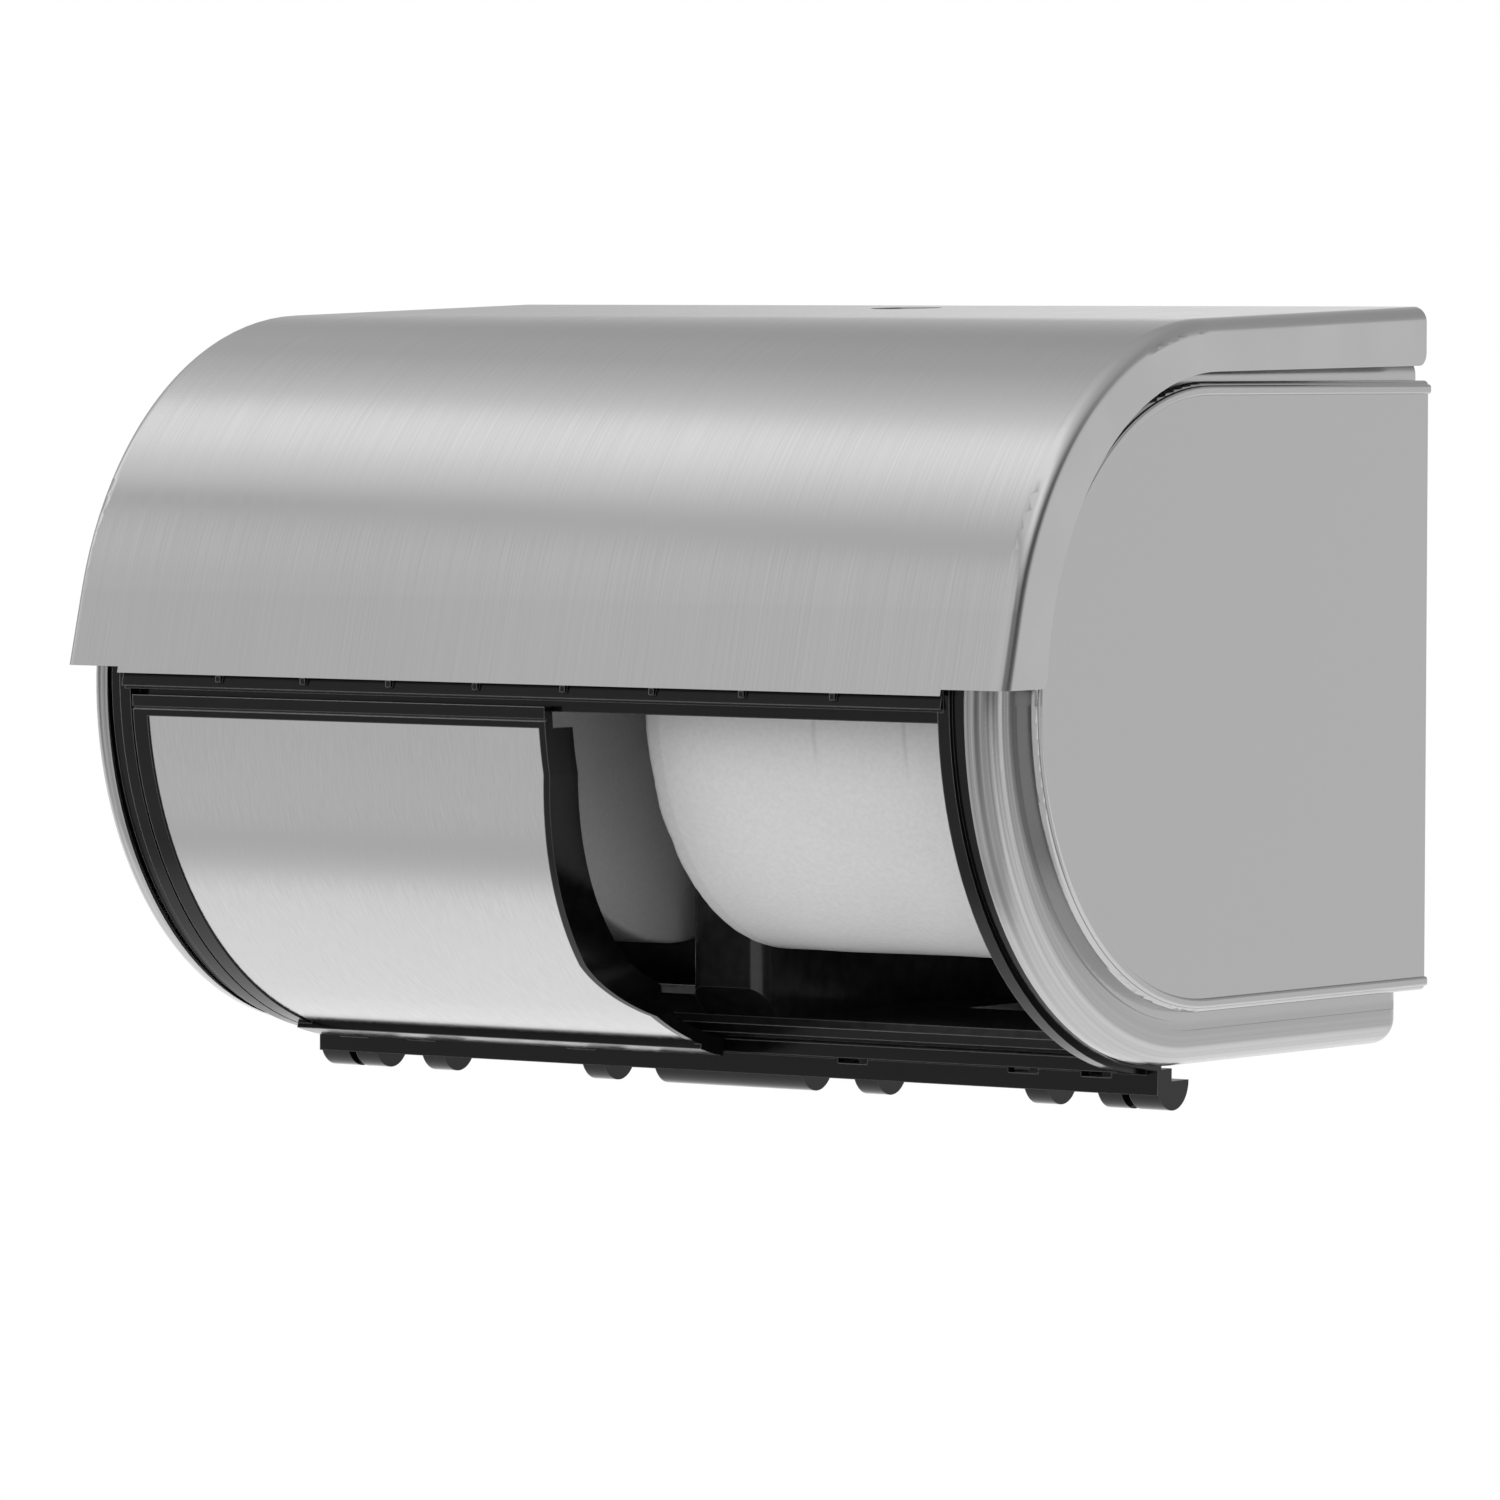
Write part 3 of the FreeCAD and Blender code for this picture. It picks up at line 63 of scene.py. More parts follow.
print("CAD box", [round(v, 4) for v in (*cad_low, *cad_high)])

# %% [markdown]
# The camera stands at the photograph's place: 34 degrees to the right of the front and a little
# above the rolls' axis, far away with a long lens, so the lines of the dispenser run nearly parallel.
# A camera could be aimed with a constraint. Here its axes are worked out from the two angles, because
# the small roll of the picture then goes in as a third.

# %% Camera
CAMERA_SIDE = math.radians(34.52)
CAMERA_RISE = math.radians(2.43)
CAMERA_ROLL = math.radians(-0.22)
CAMERA_DISTANCE = 2278.4 * MM
CAMERA_AIM = Vector((1.4, -91.9, -15.24)) * MM
LENS_IN_PIXELS = 9938.4
PICTURE_WIDTH = 1500
SENSOR_WIDTH = 36.0
FARTHEST_SEEN = 20.0

scene = bpy.context.scene
side_cos, side_sin = math.cos(CAMERA_SIDE), math.sin(CAMERA_SIDE)
rise_cos, rise_sin = math.cos(CAMERA_RISE), math.sin(CAMERA_RISE)
to_right = Vector((side_cos, side_sin, 0.0))
ahead = Vector((-side_sin * rise_cos, side_cos * rise_cos, -rise_sin))
upwards = to_right.cross(ahead)
rolled_right = to_right * math.cos(CAMERA_ROLL) - upwards * math.sin(CAMERA_ROLL)
rolled_up = to_right * math.sin(CAMERA_ROLL) + upwards * math.cos(CAMERA_ROLL)
bpy.ops.object.camera_add(location=CAMERA_AIM - ahead * CAMERA_DISTANCE)
camera = bpy.context.object
camera.rotation_euler = Matrix((rolled_right, rolled_up, -ahead)).transposed().to_euler()
camera.data.sensor_width = SENSOR_WIDTH
camera.data.lens = LENS_IN_PIXELS / PICTURE_WIDTH * SENSOR_WIDTH
camera.data.clip_end = FARTHEST_SEEN
scene.camera = camera
scene.view_settings.view_transform = "Standard"
print("camera at", [round(v, 3) for v in camera.location], "lens", round(camera.data.lens, 1), "mm")

# %% [markdown]
# The studio and every material are built from nodes, and the same few steps come back in each: a sum
# of two values, a value spread over another range, a grey made of one value, and an object's own
# coordinates. Each could be written out where it is needed. As small functions they keep the cells
# below short, so that a cell shows only what is special about its finish.

# %% Node helpers
NOISE_LOW = 0.3
NOISE_HIGH = 0.7


def add_node(tree, kind, **settings):
    """A node with its properties set by name."""
    node = tree.nodes.new(kind)
    for key, setting in settings.items():
        setattr(node, key, setting)
    return node


def link_math(tree, operation, *values):
    """One sum of values, each a socket or a plain number."""
    node = add_node(tree, "ShaderNodeMath", operation=operation)
    for socket, source in zip(node.inputs, values):
        if isinstance(source, (int, float)):
            socket.default_value = source
        else:
            tree.links.new(source, socket)
    return node.outputs[0]


def spread_over(tree, value, low, high, start=NOISE_LOW, end=NOISE_HIGH):
    """Maps start to end onto low to high and holds it beyond; noise mostly lies from 0.3 to 0.7."""
    node = add_node(tree, "ShaderNodeMapRange")
    node.inputs["From Min"].default_value = start
    node.inputs["From Max"].default_value = end
    node.inputs["To Min"].default_value = low
    node.inputs["To Max"].default_value = high
    tree.links.new(value, node.inputs["Value"])
    return node.outputs["Result"]


def grey_of(tree, value):
    """A grey with the value in all three channels."""
    node = add_node(tree, "ShaderNodeCombineColor")
    for channel in ("Red", "Green", "Blue"):
        tree.links.new(value, node.inputs[channel])
    return node.outputs[0]


def noise_of(tree, vector, scale, detail):
    """Plain noise at a place."""
    node = add_node(tree, "ShaderNodeTexNoise")
    node.inputs["Scale"].default_value = scale
    node.inputs["Detail"].default_value = detail
    tree.links.new(vector, node.inputs["Vector"])
    return node.outputs["Fac"]


def object_place(tree):
    """The object's own coordinates, as one vector and as X, Y and Z."""
    vector = add_node(tree, "ShaderNodeTexCoord").outputs["Object"]
    axes = add_node(tree, "ShaderNodeSeparateXYZ")
    tree.links.new(vector, axes.inputs[0])
    return vector, axes.outputs["X"], axes.outputs["Y"], axes.outputs["Z"]


def link_bump(tree, shader, height, strength, distance):
    """Bends the shader's normals by a height."""
    node = add_node(tree, "ShaderNodeBump")
    node.inputs["Strength"].default_value = strength
    node.inputs["Distance"].default_value = distance
    tree.links.new(height, node.inputs["Height"])
    tree.links.new(node.outputs[0], shader.inputs["Normal"])


def new_material(name):
    """A material, its nodes and its shader."""
    material = bpy.data.materials.new(name)
    material.use_nodes = True
    tree = material.node_tree
    return material, tree, tree.nodes["Principled BSDF"]


print("node helpers are ready")

# %% [markdown]
# Light in a studio does three jobs: it is the background that the camera sees, the room that the steel
# mirrors, and the light that falls on the tissue. One brightness can't suit all three, so the kind of
# ray picks it. A ramp gives a brightness for each direction or place. Its colours are kept within 1:
# they hold half of the brightness, which is doubled again behind the ramp.

# %% Studio helpers
RAMP_TOP = 2.0


def value_ramp(tree, value, stops):
    """A ramp from place to brightness; the places run from 0 to 1 and the brightness to RAMP_TOP."""
    node = add_node(tree, "ShaderNodeValToRGB")
    node.color_ramp.interpolation = "EASE"
    elements = node.color_ramp.elements
    while len(elements) < len(stops):
        elements.new(0.5)
    for element, (place, brightness) in zip(elements, stops):
        share = brightness / RAMP_TOP
        element.position = place
        element.color = (share, share, share, 1.0)
    tree.links.new(value, node.inputs["Fac"])
    return link_math(tree, "MULTIPLY", node.outputs["Color"], RAMP_TOP)


def by_ray(tree, seen, mirrored, lighting):
    """Strength by kind of ray: seen by the camera, mirrored in a surface, or lighting it."""
    path = add_node(tree, "ShaderNodeLightPath").outputs
    from_camera = link_math(tree, "MAXIMUM", path["Is Camera Ray"], path["Is Transmission Ray"])
    more_mirrored = link_math(tree, "SUBTRACT", mirrored, lighting)
    mirror_part = link_math(tree, "MULTIPLY", path["Is Glossy Ray"], more_mirrored)
    strength = link_math(tree, "ADD", mirror_part, lighting)
    more_seen = link_math(tree, "SUBTRACT", seen, strength)
    seen_part = link_math(tree, "MULTIPLY", from_camera, more_seen)
    return link_math(tree, "ADD", strength, seen_part)


print("a ramp reaches", RAMP_TOP)

# %% [markdown]
# The photograph has a plain white background. The world is white for the camera and dimmer as a
# light, so the tissue keeps its shading. What the steel reflects decides how it looks: a studio has
# a long bright window overhead, a thin dark seam in front of it and a dark wall at the far right.
# Cards could be hung round the part for that. Ramps over the direction of a reflected ray do the
# same, and are quicker to set. The seam hangs lower towards the hood's right end, so its angle
# changes a little with the sideways direction.

# %% World
AMBIENT_LIGHT = 0.55
# Directions round the X axis, as degrees from the front over the top, and how bright they are.
ROUND_X = [(-180, 1.0), (0, 0.83), (14, 0.85), (24, 0.91), (36, 1.02), (46, 1.0), (52, 0.62), (58, 1.0),
           (66, 1.2), (77, 1.5), (87, 1.55), (100, 1.04), (112, 0.84), (124, 0.68),
           (150, 0.52), (170, 0.6), (180, 1.0)]
# Directions by how far they point to the right, from 0 for left to 1 for right.
TO_RIGHT = [(0.0, 1.0), (0.82, 1.0), (0.94, 0.28), (1.0, 0.2)]
# How much of the dark right wall is left, from straight down at 0 to straight up at 1.
DARK_WALL = [(0.0, 1.0), (0.6, 1.0), (0.78, 0.1), (1.0, 0.1)]
SEAM_MIDDLE = -0.57
SEAM_REACH = 0.05
SEAM_SLOPE = 3.0
FULL_TURN = 2.0 * math.pi

world = bpy.data.worlds.new("studio")
scene.world = world
world.use_nodes = True
world_tree = world.node_tree
background = world_tree.nodes["Background"]
background.inputs["Color"].default_value = (1.0, 1.0, 1.0, 1.0)
direction = add_node(world_tree, "ShaderNodeTexCoord")
heading = add_node(world_tree, "ShaderNodeSeparateXYZ")
world_tree.links.new(direction.outputs["Generated"], heading.inputs[0])

toward_front = link_math(world_tree, "MULTIPLY", heading.outputs["Y"], -1.0)
level_turn = link_math(world_tree, "ARCTAN2", heading.outputs["Z"], toward_front)
off_middle = link_math(world_tree, "SUBTRACT", heading.outputs["X"], SEAM_MIDDLE)
held_low = link_math(world_tree, "MAXIMUM", off_middle, -SEAM_REACH)
held = link_math(world_tree, "MINIMUM", held_low, SEAM_REACH)
tilt = link_math(world_tree, "MULTIPLY", held, SEAM_SLOPE)
turn = link_math(world_tree, "ADD", level_turn, tilt)
part_turn = link_math(world_tree, "DIVIDE", turn, FULL_TURN)
turn_share = link_math(world_tree, "ADD", part_turn, 0.5)
bands = value_ramp(world_tree, turn_share, [((angle + 180) / 360, bright) for angle, bright in ROUND_X])

# A direction's X and Z run from -1 to 1, and a ramp from 0 to 1.
right_share = link_math(world_tree, "MULTIPLY_ADD", heading.outputs["X"], 0.5, 0.5)
right_light = value_ramp(world_tree, right_share, TO_RIGHT)
up_share = link_math(world_tree, "MULTIPLY_ADD", heading.outputs["Z"], 0.5, 0.5)
near_horizon = value_ramp(world_tree, up_share, DARK_WALL)
wall_loss = link_math(world_tree, "SUBTRACT", 1.0, right_light)
kept_loss = link_math(world_tree, "MULTIPLY", wall_loss, near_horizon)
wall_share = link_math(world_tree, "SUBTRACT", 1.0, kept_loss)
mirrored_world = link_math(world_tree, "MULTIPLY", bands, wall_share)
world_strength = by_ray(world_tree, 1.0, mirrored_world, AMBIENT_LIGHT)
world_tree.links.new(world_strength, background.inputs["Strength"])
print("world of", len(world_tree.nodes), "nodes")

# %% [markdown]
# The floor lies well below the dispenser, which hangs on a wall. The lower half of the door mirrors
# it: bright below the dispenser, with a dark seam a little in front. A painted gradient on a card
# would do that in a studio. Here the floor glows by its distance from the wall when it is mirrored,
# is plain white for the camera, and is pale paint for the light that falls on it.

# %% Floor
FLOOR_DROP = 0.30
FLOOR_SIZE = 30.0
FLOOR_PAINT = 0.8
# Places from the front to the back over the span, with the wall at 0.5, and how bright they are.
FLOOR_SPAN = 2.5
FLOOR_GLOW = [(0.0, 0.88), (0.3, 0.92), (0.335, 0.8), (0.355, 0.88), (0.4, 1.37), (0.46, 1.4),
              (0.54, 1.34), (0.7, 1.34), (1.0, 1.0)]

bpy.ops.object.select_all(action="DESELECT")
bpy.ops.mesh.primitive_plane_add(size=FLOOR_SIZE, location=(0.0, 0.0, cad_low.z - FLOOR_DROP))
floor = bpy.context.object
floor.name = "studio_floor"
floor_paint, floor_tree, unused_shader = new_material("pale_floor")
floor_tree.nodes.remove(unused_shader)
floor_diffuse = add_node(floor_tree, "ShaderNodeBsdfDiffuse")
floor_diffuse.inputs["Color"].default_value = (FLOOR_PAINT, FLOOR_PAINT, FLOOR_PAINT, 1.0)
floor_glow = add_node(floor_tree, "ShaderNodeEmission")
floor_y = object_place(floor_tree)[2]
part_span = link_math(floor_tree, "DIVIDE", floor_y, FLOOR_SPAN)
floor_share = link_math(floor_tree, "ADD", part_span, 0.5)
floor_mirrored = value_ramp(floor_tree, floor_share, FLOOR_GLOW)
floor_strength = by_ray(floor_tree, 1.0, floor_mirrored, 0.0)
floor_tree.links.new(floor_strength, floor_glow.inputs["Strength"])
floor_path = add_node(floor_tree, "ShaderNodeLightPath").outputs
glow_shown = link_math(floor_tree, "MAXIMUM", floor_path["Is Camera Ray"], floor_path["Is Glossy Ray"])
floor_mix = add_node(floor_tree, "ShaderNodeMixShader")
floor_tree.links.new(glow_shown, floor_mix.inputs["Fac"])
floor_tree.links.new(floor_diffuse.outputs[0], floor_mix.inputs[1])
floor_tree.links.new(floor_glow.outputs[0], floor_mix.inputs[2])
floor_tree.links.new(floor_mix.outputs[0], floor_tree.nodes["Material Output"].inputs["Surface"])
floor.data.materials.append(floor_paint)
print("floor at", round(floor.location.z, 3), "m")

# %% [markdown]
# The light is soft: a long box above the hood and a wide one at the front left, which lights the
# tissue through the opening. Spot lamps would draw hard shadows of the frame on the tissue. The steel
# doesn't mirror the boxes, because the world holds its bands.

# %% Lights
TOP_PLACE = (-0.6, -0.35, 1.6)
FRONT_PLACE = (-1.2, -1.9, 0.5)


def soft_box(name, place, aim, width, height, power):
    """A rectangular area light that faces aim and isn't mirrored."""
    bpy.ops.object.light_add(type="AREA", location=place)
    lamp = bpy.context.object
    lamp.name = name
    lamp.data.shape = "RECTANGLE"
    lamp.data.size = width
    lamp.data.size_y = height
    lamp.data.energy = power
    lamp.visible_glossy = False
    lamp.rotation_euler = (Vector(aim) - Vector(place)).to_track_quat("-Z", "Y").to_euler()


middle = (cad_low + cad_high) / 2
soft_box("top_box", TOP_PLACE, middle, width=2.4, height=0.5, power=12.0)
soft_box("front_box", FRONT_PLACE, middle, width=1.2, height=1.2, power=10.0)

# %% [markdown]
# Brushed steel shows fine straight scratches in one direction. On the hood and the door they run
# round the curve, so the pattern changes quickly along X and slowly along the other axes. Scratches
# could be modelled as grooves, which would take millions of faces. One node group makes them from
# stretched noise, and each steel material holds it with its own scale and depth.

# %% Brushed grain, a node group
SCRATCH_DETAIL = 3.0
CLOUD_SCALE = 18.0
CLOUD_DETAIL = 2.0


def new_group(name, inputs, outputs):
    """A shader node group with named inputs and outputs."""
    group = bpy.data.node_groups.new(name, "ShaderNodeTree")
    for label, kind in inputs:
        group.interface.new_socket(label, in_out="INPUT", socket_type=kind)
    for label, kind in outputs:
        group.interface.new_socket(label, in_out="OUTPUT", socket_type=kind)
    return group, group.nodes.new("NodeGroupInput"), group.nodes.new("NodeGroupOutput")


grain_group, grain_in, grain_out = new_group(
    "brushed_grain",
    [("Place", "NodeSocketVector"), ("Across", "NodeSocketFloat"), ("Along", "NodeSocketFloat")],
    [("Scratches", "NodeSocketFloat"), ("Clouds", "NodeSocketFloat")],
)
stretch = add_node(grain_group, "ShaderNodeVectorMath", operation="MULTIPLY")
stretch_size = add_node(grain_group, "ShaderNodeCombineXYZ")
for axis, source in (("X", "Across"), ("Y", "Along"), ("Z", "Along")):
    grain_group.links.new(grain_in.outputs[source], stretch_size.inputs[axis])
grain_group.links.new(grain_in.outputs["Place"], stretch.inputs[0])
grain_group.links.new(stretch_size.outputs[0], stretch.inputs[1])
scratches = noise_of(grain_group, stretch.outputs[0], 1.0, SCRATCH_DETAIL)
clouds = noise_of(grain_group, grain_in.outputs["Place"], CLOUD_SCALE, CLOUD_DETAIL)
grain_group.links.new(scratches, grain_out.inputs["Scratches"])
grain_group.links.new(clouds, grain_out.inputs["Clouds"])
print("group", grain_group.name, "with", len(grain_group.nodes), "nodes")

# %% [markdown]
# The steel itself is metallic and grey. The hood and the door are sheet steel that was brushed before
# it was bent. A single grey with one roughness would look like paint, so the scratches move the tone
# a little, the roughness a little more, and feed a faint bump, and wide clouds move the tone again.

# %% Steel materials
ROUGH_SPREAD = 0.05
SCRATCH_STRENGTH = 0.25


def brushed_steel(name, tone, spread, across, along, rough, bump_depth, cloudy=0.01):
    """Steel of one tone; spread is how far the scratches move the tone."""
    material, tree, shader = new_material(name)
    place = object_place(tree)[0]
    grain = add_node(tree, "ShaderNodeGroup", node_tree=grain_group)
    grain.inputs["Across"].default_value = across
    grain.inputs["Along"].default_value = along
    tree.links.new(place, grain.inputs["Place"])
    scratch = grain.outputs["Scratches"]
    shade = spread_over(tree, scratch, tone - spread, tone + spread)
    cloud = spread_over(tree, grain.outputs["Clouds"], 1.0 - cloudy, 1.0 + cloudy)
    clouded = link_math(tree, "MULTIPLY", shade, cloud)
    tree.links.new(grey_of(tree, clouded), shader.inputs["Base Color"])
    roughness = spread_over(tree, scratch, rough + ROUGH_SPREAD, rough - ROUGH_SPREAD)
    tree.links.new(roughness, shader.inputs["Roughness"])
    link_bump(tree, shader, scratch, SCRATCH_STRENGTH, bump_depth)
    shader.inputs["Metallic"].default_value = 1.0
    return material


hood_steel = brushed_steel("hood_steel", tone=0.44, spread=0.013, across=4200.0, along=26.0,
                           rough=0.19, bump_depth=0.006 * MM)
door_steel = brushed_steel("door_steel", tone=0.46, spread=0.012, across=4600.0, along=240.0,
                           rough=0.22, bump_depth=0.003 * MM)
panel_steel = brushed_steel("panel_steel", tone=0.42, spread=0.003, across=900.0, along=2500.0,
                            rough=0.22, bump_depth=0.00004 * MM, cloudy=0.002)
plated_steel = brushed_steel("plated_steel", tone=0.5, spread=0.03, across=700.0, along=700.0,
                             rough=0.28, bump_depth=0.005 * MM)
print("steel", [item.name for item in (hood_steel, door_steel, panel_steel, plated_steel)])

# %% [markdown]
# An end panel's rim was polished along its length after pressing, so its streaks follow the D: they
# depend on the distance from the roll axis, and behind it on the height alone. The flat D keeps its
# plain face. The streaks could be painted on an unwrapped rim. Working out that distance in the
# material needs no unwrapping, and both panels share it. The streaks are the rim's grain, and their
# depth is painted light:
# strong beside the hood's lower edge, where the light catches them, and fainter towards the bottom.

# %% Streaks along the rims
AXIS_DEPTH = 95.2 * MM
RIM_START = 71.5 * MM
STREAK_SCALE = 420.0
STREAK_DETAIL = 6.0
DEEPEST_STREAK = 0.75
BRIGHTEST_STREAK = -0.1
FADE_BOTTOM = -70.0 * MM
FADED_SHARE = 0.2

panel_tree = panel_steel.node_tree
panel_shader = panel_tree.nodes["Principled BSDF"]
panel_x, panel_y, panel_z = object_place(panel_tree)[1:]
behind_axis = link_math(panel_tree, "ADD", panel_y, AXIS_DEPTH)
before_axis = link_math(panel_tree, "MINIMUM", behind_axis, 0.0)
depth_square = link_math(panel_tree, "MULTIPLY", before_axis, before_axis)
height_square = link_math(panel_tree, "MULTIPLY", panel_z, panel_z)
square = link_math(panel_tree, "ADD", depth_square, height_square)
from_axis = link_math(panel_tree, "SQRT", square)
sideways = link_math(panel_tree, "ABSOLUTE", panel_x)
streak_place = link_math(panel_tree, "SUBTRACT", from_axis, sideways)
streaks = add_node(panel_tree, "ShaderNodeTexNoise", noise_dimensions="1D")
streaks.inputs["Scale"].default_value = STREAK_SCALE
streaks.inputs["Detail"].default_value = STREAK_DETAIL
panel_tree.links.new(streak_place, streaks.inputs["W"])
full_depth = spread_over(panel_tree, streaks.outputs["Fac"], DEEPEST_STREAK, BRIGHTEST_STREAK)
# Painted light: the streaks' depth fades towards the bottom, where the light catches the grain less.
painted_light_fade = spread_over(panel_tree, panel_z, FADED_SHARE, 1.0, start=FADE_BOTTOM, end=0.0)
streak_depth = link_math(panel_tree, "MULTIPLY", full_depth, painted_light_fade)
on_rim = link_math(panel_tree, "GREATER_THAN", from_axis, RIM_START)
darker = link_math(panel_tree, "MULTIPLY", on_rim, streak_depth)
kept_share = link_math(panel_tree, "SUBTRACT", 1.0, darker)
plain_tone = panel_shader.inputs["Base Color"].links[0].from_socket
streaked = add_node(panel_tree, "ShaderNodeVectorMath", operation="SCALE")
panel_tree.links.new(plain_tone, streaked.inputs[0])
panel_tree.links.new(kept_share, streaked.inputs["Scale"])
panel_tree.links.new(streaked.outputs[0], panel_shader.inputs["Base Color"])
print("rim streaks start", round(RIM_START, 4), "m from the roll axis")

# %% [markdown]
# The frame, the door's carrier and the inside are moulded black plastic. It is nearly black and
# glossy, with a faint ripple that a mould leaves. The moulded edges are rounded by a fraction of a
# millimetre and catch the light as thin lines. Fillets that small could be modelled on every edge. Here
# a rounded normal finds the same edges in the material, and the lines are a painted highlight: edges
# that face a chosen light side are lightened in the colour, and the CAD shapes stay as they are.

# %% Plastic materials
EDGE_WIDTH = 0.35 * MM
EDGE_SAMPLES = 4
# How much the painted highlight lightens the colour on an edge.
EDGE_HIGHLIGHT_TONE = 0.4
# How alike the rounded and the flat normal are where a painted highlight starts and where it is full.
FLAT_LIKENESS = 0.985
EDGE_LIKENESS = 0.88
LIGHT_SIDE = Vector((-0.35, -0.85, 0.4)).normalized()
RIPPLE_SCALE = 260.0
RIPPLE_DETAIL = 2.0
RIPPLE_ROUGH = 0.04
RIPPLE_TONE = 0.2
RIPPLE_STRENGTH = 0.12
RIPPLE_DEPTH = 0.1 * MM


def likeness_of(tree, normal, other):
    """The dot product of a normal and another direction, a socket or a plain vector."""
    node = add_node(tree, "ShaderNodeVectorMath", operation="DOT_PRODUCT")
    tree.links.new(normal, node.inputs[0])
    if isinstance(other, Vector):
        node.inputs[1].default_value = other
    else:
        tree.links.new(other, node.inputs[1])
    return node.outputs["Value"]


def painted_edge_highlights(tree):
    """A painted highlight: how far a point lies on a rounded edge that faces the light, from 0 to 1."""
    rounded = add_node(tree, "ShaderNodeBevel", samples=EDGE_SAMPLES)
    rounded.inputs["Radius"].default_value = EDGE_WIDTH
    rounded_normal = rounded.outputs["Normal"]
    flat_normal = add_node(tree, "ShaderNodeNewGeometry").outputs["Normal"]
    likeness = likeness_of(tree, rounded_normal, flat_normal)
    on_edge = spread_over(tree, likeness, 0.0, 1.0, start=FLAT_LIKENESS, end=EDGE_LIKENESS)
    facing = likeness_of(tree, rounded_normal, LIGHT_SIDE)
    lit = link_math(tree, "MAXIMUM", facing, 0.0)
    return link_math(tree, "MULTIPLY", on_edge, lit)


def moulded_black(name, tone, rough, specular):
    """Black plastic with a mould's ripple and a painted highlight along its edges that face the light.
    """
    material, tree, shader = new_material(name)
    ripple = noise_of(tree, object_place(tree)[0], RIPPLE_SCALE, RIPPLE_DETAIL)
    roughness = spread_over(tree, ripple, rough - RIPPLE_ROUGH, rough + RIPPLE_ROUGH)
    tree.links.new(roughness, shader.inputs["Roughness"])
    rippled = spread_over(tree, ripple, tone * (1.0 - RIPPLE_TONE), tone * (1.0 + RIPPLE_TONE))
    # Painted highlight: edges that face LIGHT_SIDE are lightened in the base colour.
    painted_highlight = link_math(tree, "MULTIPLY", painted_edge_highlights(tree), EDGE_HIGHLIGHT_TONE)
    shade = link_math(tree, "ADD", rippled, painted_highlight)
    tree.links.new(grey_of(tree, shade), shader.inputs["Base Color"])
    link_bump(tree, shader, ripple, RIPPLE_STRENGTH, RIPPLE_DEPTH)
    shader.inputs["Specular IOR Level"].default_value = specular
    return material


gloss_black = moulded_black("gloss_black", tone=0.004, rough=0.16, specular=0.2)
satin_black = moulded_black("satin_black", tone=0.03, rough=0.34, specular=0.3)
# Painted light: the black plastic of the post and the floor is made lighter, because little light falls
# inside.
inner_black_painted_lighter = moulded_black("inner_black_painted_lighter", tone=0.045, rough=0.18, specular=0.5)
print("black", [item.name for item in (gloss_black, satin_black, inner_black_painted_lighter)])

# %% [markdown]
# Each CAD piece gets a finish: brushed sheet for the hood and the door's skin, the
# pressed panels' satin, glossy black in front, for the post and the floor the same black painted lighter
# because little light falls inside, a duller one for the back, the walls and the hubs, and plated steel
# for the rod, the lock and the fasteners.
# Finishes could be set face by face. Every piece here is of one material, so one slot is enough.

# %% Give each CAD piece its material
FINISH = {
    "hood": hood_steel,
    "door_skin": door_steel,
    "left_end_panel": panel_steel,
    "right_end_panel": panel_steel,
    "front_frame": gloss_black,
    "door_carrier": gloss_black,
    "center_post": inner_black_painted_lighter,
    "floor_tray": inner_black_painted_lighter,
    "back_plate": satin_black,
    "left_side_wall": satin_black,
    "right_side_wall": satin_black,
    "left_inner_hub": satin_black,
    "left_outer_hub": satin_black,
    "right_inner_hub": satin_black,
    "right_outer_hub": satin_black,
}
for name, piece in nodes.items():
    piece.data.materials.clear()
    piece.data.materials.append(FINISH.get(name, plated_steel))
print(len(nodes), "CAD pieces dressed")

# %% [markdown]
# A roll of tissue is wound from a soft sheet: its round side is smooth with a few creases, its ends
# show the edges of the layers as fine rings, and its corners are a little ragged. It could be a
# cylinder with a bump map. It is modelled as a circle that is extruded ring by ring, so that the
# edges can be roughened and the side can be let sag by a fraction of a millimetre.

# %% The rings of a roll
ROLL_AXIS = Vector((0.0, -AXIS_DEPTH, 0.0))
ROLL_RADIUS = 60.0 * MM
ROLL_BORE = 6.5 * MM
CORNER_ROUND = 1.4 * MM
CORNER_TURNS = (30.0, 60.0, 90.0)
ROLL_SPOKES = 224
FACE_RINGS = 8
SIDE_RINGS = 36
MERGE_DISTANCE = 0.01 * MM


def ring_profile(start, end):
    """Radius and place along X of each ring, from the bore at the start to the bore at the end."""
    face_edge = ROLL_RADIUS - CORNER_ROUND
    face_step = (face_edge - ROLL_BORE) / FACE_RINGS
    half = [(ROLL_BORE + face_step * part, 0.0) for part in range(FACE_RINGS + 1)]
    for turn_angle in CORNER_TURNS:
        angle = math.radians(turn_angle)
        half.append((face_edge + CORNER_ROUND * math.sin(angle), CORNER_ROUND * (1.0 - math.cos(angle))))
    side_step = (end - start - 2 * CORNER_ROUND) / SIDE_RINGS
    rings = [(radius, start + inset) for radius, inset in half]
    rings += [(ROLL_RADIUS, start + CORNER_ROUND + side_step * part) for part in range(1, SIDE_RINGS)]
    rings += [(radius, end - inset) for radius, inset in reversed(half)]
    return rings


def grow_ring(radius_from, radius_to, step):
    """Extrudes the selected ring, scales it about the roll's axis and moves it along X."""
    bpy.ops.mesh.extrude_edges_indiv()
    factor = radius_to / radius_from
    bpy.ops.transform.resize(value=(1.0, factor, factor), center_override=ROLL_AXIS)
    bpy.ops.transform.translate(value=(step, 0.0, 0.0))


